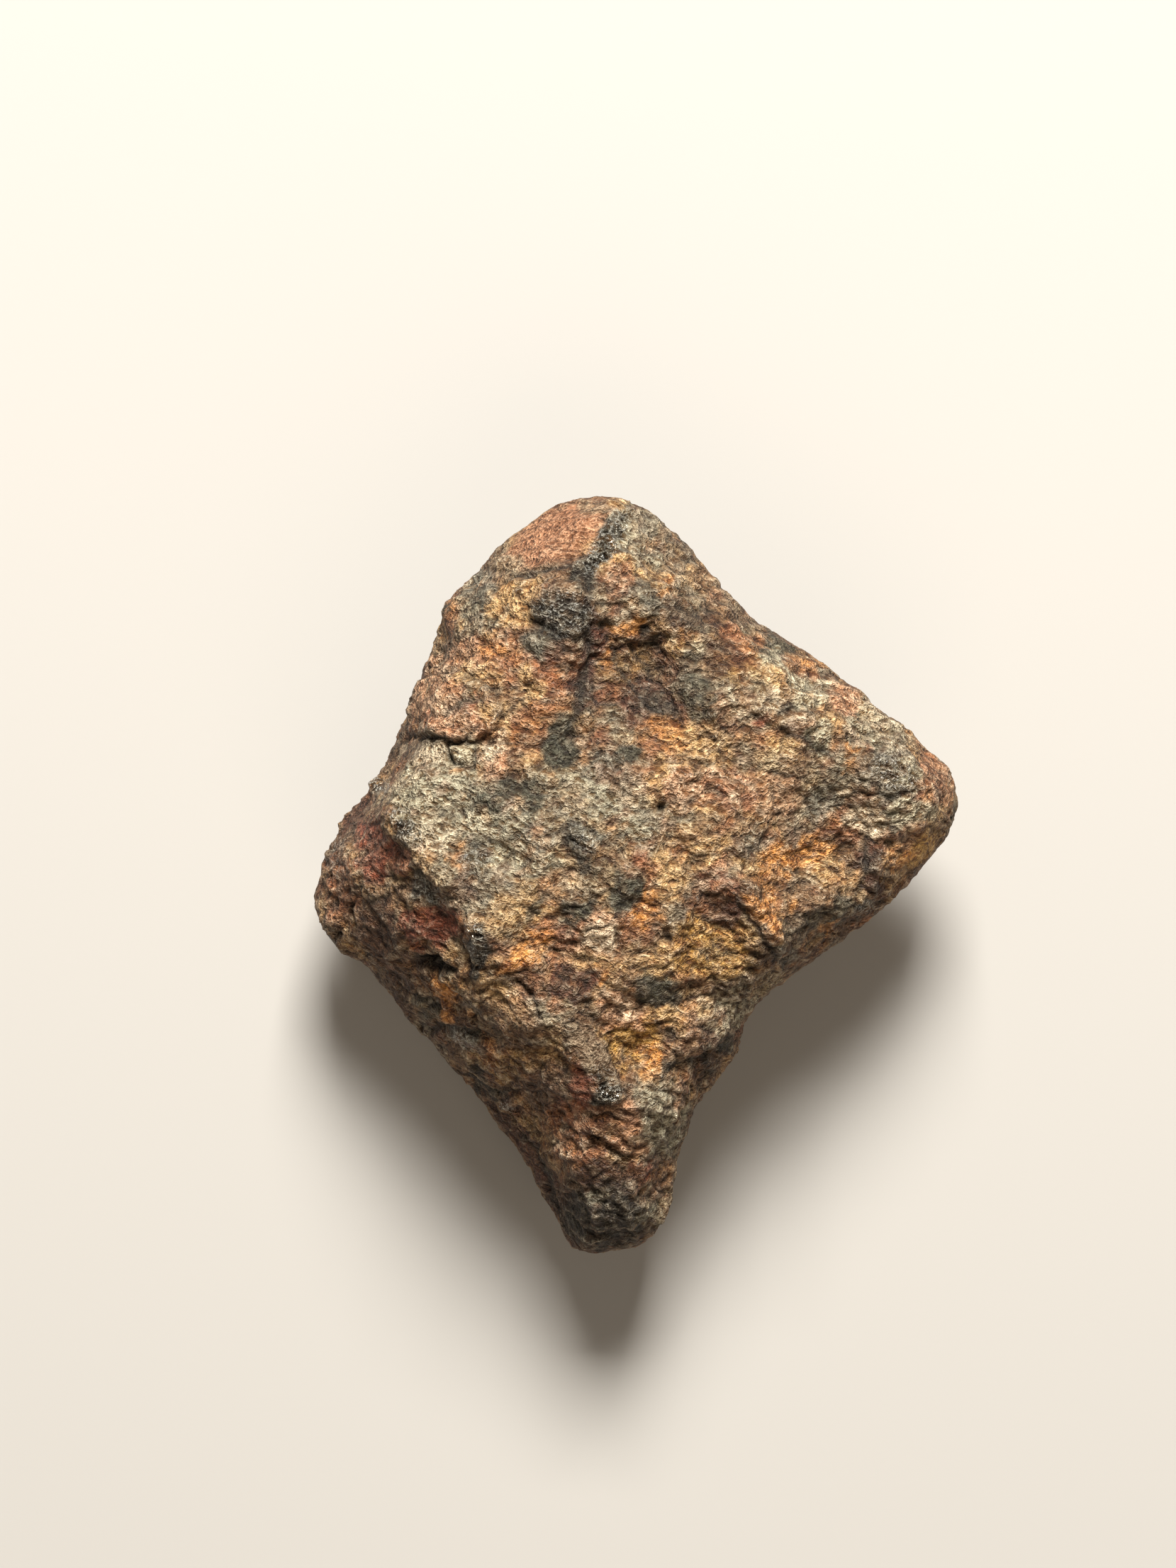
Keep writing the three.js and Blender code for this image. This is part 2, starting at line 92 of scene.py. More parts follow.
# The rust's fibres: the turns of their three ways of lying, in degrees, their length, width and depth,
# and how far they bend
FIBRE_TURNS = [(10, 15, -20), (-20, 10, 38), (15, -15, 95)]
FIBRE_SIZE = (0.75, 0.075, 0.10)
FIBRE_BEND = 0.36

# The sharp little ridges between them, coarse and fine: length, width and depth, and turn in degrees
RIDGE_SIZE, RIDGE_TURN = (0.52, 0.26, 0.26), (0, 0, -28)
FINE_SIZE, FINE_TURN = (0.20, 0.11, 0.11), (0, 0, 20)

# The small flakes: the way they fall, across the light, their spacing, and how far they wander
FLAKE_FALL = (-0.2, -0.95, 0.25)
FLAKE_SPACING = 0.42
FLAKE_WANDER = 2.4

# The waves to a millimetre of the noise that bends the fibres, parts them, clumps them, leaves gaps
# between them and scatters them
BEND_WAVES = 1.1
PART_WAVES = 0.9
CLUMP_WAVES = 2.6
GAP_WAVES = 10
SCATTER_WAVES = 1.4

# How high each part of the rust stands, below 0 where it falls away from its crests
BUMPS = {
    "fibres": 0.12,
    "flakes": 0.10,
    "clumps": 0.32,
    "gaps": 0.10,
    "ridges": -0.46,
    "fine ridges": -0.26,
}

# The tone of a point times these, for the painted shade in the low places of the rust and for the painted
# shadow at a flake's foot
DEEP_SHADE = (0.30, 0.19, 0.08)
SHADOW = (0.16, 0.10, 0.05)
# The tone times this, and its lightness times the second plus the third: a lit copy of the tone, for the
# pale strands and for the painted highlight on the crests, the raised clumps and the flake lips
LIT_TONE = (1.45, 1.45, 1.45)
LIT_LIGHTNESS = (0.39, 0.39, 0.31)
LIT_START = (0.034, 0.033, 0.027)

# The shader: how rough rust is, how much smoother and how metallic bare iron is, and the gloss of both
ROUGHNESS = 0.70
IRON_SMOOTHNESS = 0.36
IRON_METAL = 0.7
SPECULAR = 0.38

# The square soft lights: turn and elevation in degrees, distance and side in metres, power, colour
LIGHTS = {
    "key": (86, 46, 0.30, 0.11, 2.6, (1.0, 0.96, 0.89)),
    "fill": (282, 40, 0.35, 0.30, 0.46, (1.0, 0.82, 0.62)),
}
ROOM_COLOUR = (1.0, 0.93, 0.84, 1)
ROOM_STRENGTH = 0.14

# The table: its side in metres, how far it lies under the stone, and its colour as the palette's
TABLE_SIDE = 0.6
TABLE_DROP = 0.02 * MM
TABLE_COLOUR = (168, 166, 163)

# Colours, as the eye sees them in soft light (sRGB, 0 to 255)
PALETTE = {
    "tan": (184, 147, 97),
    "orange": (197, 131, 58),
    "rust": (150, 92, 54),
    "red": (132, 64, 38),
    "maroon": (84, 41, 22),
    "brown": (120, 90, 62),
    "umber": (77, 46, 23),
    "black": (38, 33, 25),
    "moss": (56, 55, 42),
    "slate": (112, 107, 94),
    "green": (144, 138, 117),
    "drab": (140, 120, 94),
    "pale": (204, 186, 158),
    "olive": (140, 106, 54),
    "pink": (194, 142, 106),
    "clay": (160, 112, 80),
    "sage": (175, 166, 140),
    "ochre": (184, 138, 62),
    "iron": (62, 60, 54),
    "stone": (118, 98, 76),
    "silver": (180, 177, 166),
    # A painted glint: the near-white of small highlights on glossy iron
    "painted_glint": (236, 236, 230),
}

# Patches of colour on the seen face, each over those before it: x, y, half length, half width, turn in
# degrees, colour, strength
PATCHES = [
    # The knob and the slopes under it
    (-2.5, 11.4, 1.7, 1.0, 25, "clay", 0.9),
    (-3.7, 10.7, 0.9, 0.4, 20, "clay", 0.8),
    (-2.3, 12.35, 1.3, 0.25, 10, "brown", 0.7),
    (-3.7, 11.75, 0.6, 0.25, 40, "umber", 0.5),
    (-1.4, 12.1, 0.4, 0.3, -10, "drab", 0.7),
    (-4.9, 10.2, 0.7, 0.9, -30, "brown", 0.7),
    (-0.4, 11.5, 0.6, 0.6, 0, "green", 0.8),
    (-0.95, 10.85, 1.2, 0.42, 57, "iron", 0.98),
    (-0.75, 11.1, 0.9, 0.2, 57, "slate", 0.9),
    (-1.45, 10.3, 0.7, 0.3, 57, "black", 0.95),
    (-1.6, 9.9, 0.7, 0.35, 80, "black", 0.95),
    (-0.5, 11.1, 0.5, 0.25, 55, "sage", 0.7),
    (-0.3, 10.6, 0.7, 0.14, -15, "iron", 0.8),
    (0.9, 11.0, 1.5, 0.9, -50, "drab", 0.6),
    (0.4, 10.6, 0.6, 0.5, 0, "green", 0.8),
    (-4.2, 10.2, 0.6, 0.4, 0, "drab", 0.8),
    (1.6, 10.7, 0.7, 0.4, -50, "iron", 0.6),
    (0.5, 11.5, 0.5, 0.3, -40, "slate", 0.7),
    (1.0, 9.5, 0.3, 0.22, 0, "orange", 0.8),
    (1.9, 9.7, 0.6, 0.25, -20, "tan", 0.7),
    (0.5, 9.2, 0.8, 0.4, -15, "slate", 0.8),
    (2.7, 9.6, 0.5, 0.7, 30, "brown", 0.6),
    (2.2, 9.8, 0.5, 0.4, -20, "brown", 0.5),
    (-0.5, 9.5, 0.45, 0.8, 0, "clay", 0.8),
    (-2.3, 8.55, 1.1, 0.85, -20, "black", 0.98),
    (-3.1, 8.8, 0.3, 0.35, 0, "black", 0.9),
    (-3.2, 7.6, 0.65, 0.6, 0, "slate", 0.95),
    (-3.1, 7.6, 0.5, 0.4, 0, "moss", 0.4),
    (-4.6, 8.3, 0.24, 0.22, 0, "moss", 0.7),
    (-5.3, 9.5, 0.6, 0.6, 0, "slate", 0.8),
    (-5.3, 9.4, 0.4, 0.4, 0, "moss", 0.4),
    (-5.2, 8.7, 0.4, 0.35, 0, "green", 0.7),
    (-5.3, 8.15, 0.5, 0.45, 0, "slate", 0.7),
    (-6.0, 8.8, 0.28, 0.18, -20, "black", 0.95),
    (-5.2, 9.9, 0.5, 0.4, 0, "slate", 0.6),
    (-6.5, 7.2, 0.35, 0.7, 0, "slate", 0.6),
    (-4.1, 9.0, 0.8, 0.7, 0, "tan", 0.9),
    (-3.4, 9.5, 0.4, 0.3, 0, "tan", 0.7),
    (-5.1, 7.3, 1.1, 0.5, -10, "clay", 0.7),
    (-4.6, 7.5, 0.4, 0.25, -10, "orange", 0.6),
    (-3.6, 6.7, 1.0, 0.6, -15, "rust", 0.6),
    (-5.2, 6.7, 0.9, 0.4, -15, "tan", 0.6),
    (-3.4, 6.3, 0.5, 0.4, 0, "tan", 0.95),
    (-6.2, 6.9, 0.6, 0.4, -15, "pink", 0.9),
    (-6.2, 6.8, 0.4, 0.3, -15, "pale", 0.5),
    # The flake, and the pale crust from it down to the left crest
    (-6.3, 6.0, 0.9, 0.6, -20, "pink", 0.9),
    (-5.9, 5.2, 1.2, 0.6, -5, "pink", 0.95),
    (-6.3, 5.6, 0.5, 0.3, 0, "pale", 0.4),
    (-5.5, 5.5, 0.6, 0.14, 35, "red", 0.8),
    (-6.6, 5.0, 0.25, 0.3, 20, "red", 0.3),
    (-5.3, 6.05, 0.45, 0.2, 10, "slate", 0.4),
    (-4.4, 5.2, 0.4, 0.6, 30, "tan", 0.6),
    (-6.7, 4.1, 0.7, 0.4, 0, "pale", 0.5),
    (-5.65, 4.1, 0.5, 0.35, 0, "sage", 0.8),
    (-5.6, 3.5, 0.4, 0.15, 0, "orange", 0.8),
    (-4.6, 4.0, 0.6, 0.7, 0, "pink", 0.9),
    (-4.7, 4.3, 0.5, 0.4, 0, "pale", 0.95),
    (-3.4, 5.0, 0.6, 0.7, 0, "rust", 0.7),
    (-7.0, 2.8, 1.3, 0.7, 15, "sage", 0.85),
    (-8.35, 2.6, 0.3, 0.5, 20, "iron", 0.7),
    (-7.4, 1.6, 0.7, 0.3, -50, "black", 0.9),
    (-6.4, 1.5, 0.55, 0.4, -30, "orange", 0.8),
    (-6.6, 1.4, 0.6, 0.5, 0, "pale", 0.85),
    (-5.5, 1.7, 0.3, 0.25, 0, "orange", 0.7),
    (-5.8, 0.7, 0.3, 0.3, 0, "orange", 0.6),
    # The middle of the face
    (-5.6, 2.2, 2.2, 1.3, -20, "green", 0.75),
    (-3.4, 1.6, 2.4, 1.4, -25, "slate", 0.5),
    (-1.0, 2.6, 1.8, 1.1, -20, "slate", 0.5),
    (-4.8, -0.2, 1.1, 0.7, -40, "slate", 0.6),
    (-0.9, 0.3, 1.1, 0.9, -30, "slate", 0.45),
    (-4.75, 2.5, 0.45, 0.4, 20, "moss", 0.95),
    (-4.9, 1.7, 0.7, 0.45, 0, "sage", 0.8),
    (-4.0, 2.95, 0.4, 0.35, 0, "moss", 0.9),
    (-3.4, 2.6, 0.4, 0.5, 0, "moss", 0.9),
    (-2.5, 4.4, 0.65, 0.75, 0, "moss", 0.98),
    (-1.9, 5.4, 0.3, 0.3, 0, "black", 0.8),
    (-0.35, 3.9, 0.33, 0.5, 0, "moss", 0.95),
    (-1.2, 3.7, 0.7, 0.45, 0, "slate", 0.8),
    (-2.1, 3.2, 0.9, 0.4, 0, "green", 0.6),
    (-1.0, 2.5, 0.7, 0.45, -20, "green", 0.9),
    (-1.85, 1.1, 0.8, 0.38, -40, "black", 0.95),
    (-1.6, 1.45, 0.75, 0.32, -40, "slate", 0.97),
    (-3.6, 1.6, 0.9, 0.6, 0, "green", 0.6),
    (-4.4, 0.6, 0.6, 0.5, 0, "sage", 0.95),
    (-3.0, 0.3, 0.6, 0.45, 0, "green", 0.8),
    (-0.2, 1.5, 0.6, 0.4, 0, "green", 0.8),
    (-0.3, 0.4, 0.4, 0.4, 0, "brown", 0.8),
    (-3.1, 1.2, 0.6, 0.45, 0, "slate", 0.85),
    (0.4, 4.2, 0.4, 0.4, 0, "rust", 0.6),
    (1.2, 3.0, 0.9, 0.8, 0, "tan", 0.8),
    (1.6, 3.2, 0.35, 0.3, 0, "red", 0.5),
    (1.7, 2.7, 0.7, 0.5, 0, "pink", 0.9),
    (1.7, 2.7, 0.5, 0.4, 0, "pale", 0.3),
    # The hollow under the knob
    (-2.3, 6.8, 0.9, 0.8, 0, "rust", 0.8),
    (-2.0, 7.1, 0.5, 0.6, 0, "umber", 0.5),
    (-0.3, 7.0, 1.3, 1.4, 0, "umber", 0.8),
    (-1.45, 7.2, 0.35, 1.6, 0, "maroon", 0.97),
    (-2.6, 7.5, 0.4, 0.35, 0, "maroon", 0.5),
    (-1.5, 6.2, 0.75, 0.6, 0, "maroon", 0.95),
    (-1.5, 6.2, 0.5, 0.4, 0, "black", 0.6),
    (-0.6, 6.0, 0.6, 0.4, 0, "rust", 0.6),
    (-0.3, 6.9, 0.8, 0.9, 0, "olive", 0.5),
    (-0.4, 7.8, 0.8, 0.25, -10, "maroon", 0.6),
    (-0.6, 8.45, 0.6, 0.12, 8, "pale", 0.9),
    # Painted shadow: the next two black notches under the lip
    (0.6, 7.75, 0.35, 0.3, -30, "black", 0.9),
    (-1.0, 8.2, 0.25, 0.15, 0, "black", 0.9),
    (0.9, 6.7, 0.35, 1.0, 5, "umber", 0.6),
    (-0.2, 8.1, 0.6, 0.3, 0, "orange", 0.8),
    (-0.8, 7.2, 0.25, 0.4, 0, "orange", 0.6),
    (0.4, 5.6, 1.2, 0.8, -40, "maroon", 0.98),
    (0.7, 5.4, 0.7, 0.5, -40, "umber", 0.95),
    (0.4, 5.5, 0.8, 0.5, -40, "black", 0.75),
    (-0.2, 6.2, 0.6, 0.4, 0, "umber", 0.5),
    (-1.3, 4.8, 0.5, 0.4, 0, "red", 0.35),
    (1.0, 4.6, 0.9, 0.4, -20, "orange", 0.5),
    # The slope at the upper right
    (1.8, 8.6, 0.7, 0.5, -10, "moss", 0.85),
    (1.7, 8.6, 0.6, 0.4, -10, "umber", 0.5),
    (3.0, 8.4, 0.8, 0.5, -30, "umber", 0.8),
    (1.6, 7.7, 0.5, 0.5, 0, "olive", 0.7),
    (2.0, 7.3, 0.4, 0.4, 0, "green", 0.7),
    (1.8, 6.6, 0.5, 0.8, 20, "moss", 0.75),
    (3.0, 7.2, 0.6, 0.5, -20, "umber", 0.5),
    (2.0, 5.9, 0.8, 0.6, -20, "moss", 0.9),
    (3.2, 7.0, 0.8, 0.5, -20, "olive", 0.6),
    (3.5, 7.6, 0.7, 0.5, -30, "rust", 0.75),
    (2.9, 7.3, 0.7, 0.6, -20, "umber", 0.85),
    (4.5, 7.5, 0.6, 0.5, -45, "moss", 0.9),
    (4.9, 6.8, 0.8, 0.4, -30, "sage", 0.8),
    (5.6, 6.1, 0.7, 0.5, -30, "sage", 0.85),
    (6.2, 6.9, 0.6, 0.3, -35, "orange", 0.7),
    (7.7, 5.0, 1.3, 0.7, -40, "sage", 0.7),
    (6.7, 5.7, 0.6, 0.4, -10, "pink", 0.8),
    (3.6, 5.5, 0.8, 0.25, -15, "pale", 0.5),
    (4.1, 5.1, 0.3, 0.3, 0, "red", 0.8),
    (5.2, 5.2, 0.5, 0.25, -10, "pale", 0.6),
    (4.5, 5.7, 0.6, 0.35, -15, "pale", 0.7),
    (5.4, 4.7, 0.7, 0.2, -35, "umber", 0.8),
    (6.1, 4.4, 0.6, 0.4, -35, "sage", 0.9),
    (5.0, 3.6, 0.5, 0.4, 0, "brown", 0.7),
    (3.2, 4.8, 1.0, 0.5, -10, "brown", 0.7),
    (7.0, 4.4, 0.25, 0.25, 0, "orange", 0.9),
    (7.0, 3.7, 0.25, 0.35, 0, "orange", 0.7),
    # The right-hand corner
    (8.3, 3.4, 1.0, 0.9, -30, "slate", 0.8),
    (8.6, 2.5, 0.6, 0.3, -10, "iron", 0.6),
    (9.0, 3.4, 0.4, 0.5, 0, "sage", 0.6),
    (8.5, 1.9, 0.4, 0.25, -20, "black", 0.9),
    (7.6, 1.9, 0.6, 0.5, 0, "pale", 0.85),
    (9.9, 3.2, 0.5, 0.9, 20, "clay", 0.7),
    (9.6, 4.2, 0.5, 0.25, -45, "rust", 0.7),
    (8.9, 4.4, 0.5, 0.4, 0, "pale", 0.2),
    (9.1, 2.1, 0.7, 0.5, 0, "sage", 0.9),
    (9.4, 0.8, 0.7, 0.4, 40, "ochre", 0.9),
    (8.8, 0.6, 0.5, 0.3, 30, "orange", 0.6),
    # The plateau and the basin right of the middle
    (4.0, 2.8, 1.6, 0.8, -5, "clay", 0.6),
    (3.2, 2.4, 0.9, 0.4, 0, "red", 0.35),
    (2.9, 3.4, 0.7, 0.45, 0, "pink", 0.8),
    (2.9, 3.4, 0.5, 0.3, 0, "pale", 0.4),
    (6.1, 2.4, 0.5, 0.6, 0, "slate", 0.8),
    (6.5, 3.3, 0.6, 0.4, -20, "moss", 0.5),
    (1.7, 1.55, 0.4, 0.25, -20, "sage", 0.7),
    (3.2, 1.2, 0.9, 0.25, -20, "umber", 0.6),
    (3.9, 1.1, 0.4, 0.4, 0, "slate", 0.6),
    (2.0, 1.1, 1.1, 0.7, -10, "tan", 0.7),
    (2.6, -0.3, 0.8, 0.4, -20, "red", 0.5),
    (2.9, 0.35, 0.4, 0.3, 0, "pink", 0.8),
    (2.2, -0.9, 0.9, 0.4, -20, "umber", 0.4),
    (3.0, -1.2, 0.4, 0.4, 0, "maroon", 0.9),
    (0.4, 0.2, 0.4, 0.6, 0, "rust", 0.6),
    (5.6, 0.8, 1.4, 0.35, 0, "orange", 0.85),
    (5.2, 1.4, 0.6, 0.3, 0, "maroon", 0.5),
    (4.6, 0.1, 0.7, 0.8, 0, "orange", 0.7),
    (6.4, 0.0, 0.9, 0.5, 0, "tan", 0.6),
    (7.4, 0.8, 0.5, 0.2, -10, "umber", 0.85),
    (7.7, 0.3, 0.5, 1.0, 5, "maroon", 0.97),
    (7.7, 0.3, 0.4, 0.7, 5, "black", 0.65),
    (5.8, -0.5, 0.7, 0.45, 0, "brown", 0.9),
    (4.3, -1.3, 0.7, 0.8, 30, "orange", 0.9),
    (6.6, -1.0, 0.9, 0.4, 15, "moss", 0.7),
    (5.4, -1.5, 0.5, 0.4, 0, "moss", 0.5),
    (6.3, -1.7, 0.3, 0.2, 0, "orange", 0.7),
    (7.6, -0.9, 0.5, 0.3, 30, "black", 0.7),
    (4.9, -2.6, 0.5, 0.4, -40, "slate", 0.8),
    (4.2, -2.0, 1.0, 0.2, -55, "umber", 0.8),
    # The lower face
    (2.4, -2.4, 1.4, 0.9, -20, "ochre", 0.8),
    (1.2, -1.1, 0.5, 0.35, 0, "slate", 0.6),
    (0.35, -0.9, 0.45, 0.7, 0, "orange", 0.85),
    (0.6, -3.6, 0.8, 0.5, -15, "moss", 0.95),
    (1.4, -3.9, 0.5, 0.35, 0, "black", 0.9),
    (2.6, -5.2, 0.5, 0.4, 0, "umber", 0.9),
    (-0.2, -2.7, 0.5, 0.4, 0, "brown", 0.6),
    (1.8, -4.7, 0.4, 0.7, 0, "red", 0.4),
    (3.3, -4.4, 0.5, 0.7, -30, "sage", 0.7),
    (2.9, -5.4, 0.4, 0.4, 0, "moss", 0.85),
    (1.7, -6.2, 0.9, 0.2, -5, "black", 0.8),
    (-0.1, -5.3, 0.75, 1.3, 25, "ochre", 0.95),
    (0.4, -6.1, 0.45, 0.6, 0, "orange", 0.9),
    (-0.9, -4.9, 0.4, 0.6, 20, "olive", 0.6),
    (-0.6, -4.3, 0.7, 0.6, 0, "pink", 0.9),
    (-0.5, -4.2, 0.5, 0.4, 0, "pale", 0.35),
    (-1.1, -3.4, 0.25, 0.25, 0, "orange", 0.85),
    # Between the middle and the left flank
    (-1.3, -1.8, 0.7, 0.6, 0, "pink", 0.9),
    (-1.2, -1.9, 0.65, 0.5, 0, "pale", 0.8),
    (-2.5, -2.2, 0.5, 1.0, 0, "red", 0.55),
    (-1.9, -0.95, 0.6, 0.35, 0, "moss", 0.95),
    (-1.7, -0.45, 0.6, 0.4, 0, "pale", 0.6),
    (-2.0, -3.3, 0.85, 0.65, 0, "maroon", 0.97),
    (-2.0, -3.3, 0.6, 0.45, 0, "umber", 0.85),
    (-5.6, -0.4, 0.6, 0.5, 0, "maroon", 0.5),
    (-6.7, -0.5, 0.8, 0.25, -50, "iron", 0.9),
    (-5.2, 0.6, 0.55, 0.5, 0, "slate", 0.8),
    (-3.4, -1.0, 0.25, 0.4, 0, "moss", 0.8),
    (-3.1, -1.7, 0.5, 0.35, 0, "red", 0.45),
    (-0.4, -0.5, 0.45, 0.65, 0, "moss", 0.95),
    (-4.2, -1.2, 0.5, 0.6, 0, "tan", 0.6),
    (-3.5, -2.3, 1.0, 0.42, 40, "orange", 0.98),
    (-2.6, -4.2, 0.4, 0.4, 0, "pink", 0.7),
    # The left flank
    (-8.9, 1.8, 0.7, 0.6, 0, "maroon", 0.95),
    (-8.9, 1.9, 0.5, 0.5, 0, "umber", 0.6),
    (-8.5, 0.9, 0.6, 1.1, 15, "red", 0.9),
    (-7.6, 0.6, 0.5, 0.4, -30, "red", 0.7),
    (-8.4, -1.9, 0.65, 1.2, 5, "umber", 0.9),
    (-6.7, -1.5, 0.95, 0.75, 0, "red", 0.95),
    (-6.5, -2.75, 0.6, 0.25, 0, "black", 0.9),
    (-5.2, -2.4, 0.35, 1.0, -5, "black", 0.98),
    (-6.5, -3.6, 0.6, 0.4, -35, "orange", 0.95),
    (-6.0, -4.4, 0.35, 0.4, 0, "orange", 0.9),
    (-6.8, -4.4, 0.4, 0.4, 0, "moss", 0.8),
    (-7.9, -3.8, 0.6, 0.7, -40, "umber", 0.8),
    (-9.8, -0.3, 0.6, 1.2, 0, "rust", 0.75),
    (-10.0, 0.9, 0.6, 0.6, 0, "umber", 0.7),
    (-5.6, -5.4, 0.6, 0.3, -40, "slate", 0.95),
    (-4.3, -4.8, 0.9, 0.7, -30, "brown", 0.7),
    (-4.6, -5.9, 0.5, 0.4, -30, "orange", 0.7),
    (-4.1, -6.2, 0.6, 0.45, -30, "olive", 0.8),
    (-5.0, -6.8, 0.6, 0.35, -40, "black", 0.9),
    # The grey facet, the chip under it and the prong
    (-1.4, -5.7, 1.25, 0.5, -52, "stone", 0.97),
    (-0.9, -6.95, 0.6, 0.42, -20, "black", 0.99),
    (-1.9, -7.0, 0.5, 0.9, 10, "red", 0.85),
    (-3.0, -6.7, 0.5, 0.9, 0, "umber", 0.8),
    (-1.9, -8.4, 1.3, 0.8, -40, "rust", 0.8),
    (-1.3, -8.3, 0.5, 0.5, 0, "umber", 0.6),
    (0.9, -7.8, 0.8, 1.6, 15, "green", 0.9),
    (-0.2, -8.0, 0.5, 0.7, 0, "pink", 0.8),
    (0.6, -9.8, 0.4, 0.6, 0, "umber", 0.7),
    (0.2, -9.7, 0.4, 0.5, 0, "red", 0.7),
    (-3.6, -9.4, 2.3, 0.55, -60, "maroon", 0.9),
    (-2.6, -10.4, 0.5, 0.5, 0, "umber", 0.8),
    (-4.6, -8.0, 0.9, 0.4, -55, "umber", 0.7),
    (-0.9, -9.8, 1.0, 0.65, -20, "umber", 0.97),
    (-0.9, -11.3, 1.8, 1.2, 0, "black", 0.97),
    (0.4, -11.2, 0.6, 0.25, -70, "green", 0.5),
    (-1.3, -10.5, 0.3, 0.3, 0, "green", 0.4),
]

# The patches that stay dark under the mottling
DARK = ("black", "moss", "iron", "umber", "maroon")

# Broad mottling over the brown of the whole stone: colour, wavelength, where it begins and where it is
# full in the noise, strength
BROAD_MOTTLES = [
    ("tan", 1.9, -0.20, 0.30, 1.0),
    ("green", 2.3, 0.05, 0.30, 0.6),
    ("rust", 1.9, 0.10, 0.35, 0.6),
    ("umber", 1.5, 0.15, 0.40, 0.5),
]

# Small mottling over everything, in the same order
MOTTLES = [
    ("moss", 1.0, 0.20, 0.38, 0.45),
    ("orange", 0.8, 0.26, 0.46, 0.25),
    ("red", 0.9, 0.22, 0.42, 0.25),
    ("pale", 0.5, 0.18, 0.42, 0.4),
    ("umber", 0.4, 0.16, 0.38, 0.5),
]

# How strongly painted shade darkens the flanks, the hollows and the cuts, and how strongly a painted
# highlight makes the crests paler
FLANK_SHADE = 0.45
HOLLOW_SHADE = 0.65
CUT_SHADE = 0.85
CREST_HIGHLIGHT = 0.22

# How many blurring passes of the fine mesh show small hollows and crests, and how many show large ones
SMALL_PASSES, LARGE_PASSES = 2, 14

# Lines raised on the seen face, or cut into it where the height is below 0, with painted shade in the cuts:
# points, half width, height
CREASES = [
    ([(-1.5, 9.9), (-1.6, 8.6), (-1.5, 7.2), (-1.7, 6.0), (-2.1, 4.6)], 0.18, -0.20),
    ([(-4.1, 9.95), (-3.2, 10.0), (-2.4, 10.1), (-1.7, 10.4)], 0.09, -0.18),
    ([(-0.8, 11.7), (-1.0, 11.1), (-1.3, 10.6), (-1.8, 10.0)], 0.26, 0.30),
    ([(-1.1, 8.4), (-0.4, 8.5), (0.2, 8.65), (0.9, 8.9)], 0.13, 0.10),
    ([(-1.1, 8.25), (-0.8, 8.2)], 0.13, -0.14),
    ([(-0.9, 7.8), (-0.6, 7.0), (0.1, 6.1), (0.8, 5.4)], 0.10, -0.14),
    ([(-0.5, 7.9), (-0.1, 7.1), (0.5, 6.2)], 0.10, 0.12),
    ([(-0.1, 7.7), (0.3, 6.9), (0.9, 6.1)], 0.10, -0.12),
    ([(2.5, 5.4), (3.3, 5.75), (4.1, 5.5), (4.7, 5.1)], 0.14, 0.14),
    ([(4.6, 5.4), (5.1, 5.65), (5.8, 5.3)], 0.10, -0.10),
    ([(4.8, 4.85), (5.6, 4.5), (6.4, 3.9)], 0.11, -0.09),
    ([(8.2, 1.5), (7.95, 0.6), (7.8, -0.5)], 0.14, 0.18),
    ([(7.6, 1.3), (7.5, 0.5), (7.4, -0.4)], 0.12, -0.18),
    ([(3.4, 1.0), (3.5, 0.0), (3.9, -1.0), (4.6, -2.2)], 0.22, 0.16),
    ([(3.3, -0.6), (3.7, -1.4), (4.4, -2.4), (4.9, -2.9)], 0.10, -0.14),
    ([(-8.5, 3.1), (-8.3, 2.2), (-7.7, 1.5), (-6.9, 0.9), (-6.1, 0.0)], 0.24, 0.18),
    ([(-5.4, -1.3), (-5.2, -2.2), (-5.0, -3.2)], 0.22, 0.28),
    ([(-3.9, -3.4), (-3.4, -4.0), (-3.1, -4.5)], 0.09, -0.26),
    ([(2.9, -5.6), (2.2, -6.1), (1.0, -6.3)], 0.14, -0.20),
    ([(-1.3, -8.3), (-0.8, -8.6), (-0.1, -8.9)], 0.10, 0.16),
    ([(-1.4, -8.6), (-0.8, -8.85), (-0.2, -9.2)], 0.12, -0.26),
    ([(-4.2, -7.9), (-3.4, -8.9), (-2.9, -9.8), (-2.6, -11.0)], 0.16, -0.18),
    ([(-7.3, 4.68), (-6.5, 4.62), (-6.0, 4.42), (-5.5, 4.5), (-5.0, 4.9)], 0.08, -0.24),
    ([(-6.2, 4.25), (-5.9, 3.8), (-5.3, 3.7), (-5.15, 4.15)], 0.09, -0.2),
    ([(-6.1, 5.3), (-5.6, 5.55), (-5.0, 5.7)], 0.13, -0.22),
    ([(-7.3, -2.9), (-6.6, -2.7), (-5.9, -3.0)], 0.16, -0.30),
    ([(-9.3, -0.9), (-9.2, -1.5)], 0.10, -0.22),
    ([(-5.5, -6.6), (-4.7, -7.0), (-4.0, -7.1)], 0.13, -0.24),
    ([(-7.3, -5.1), (-6.2, -4.9), (-5.3, -5.0)], 0.12, -0.20),
]

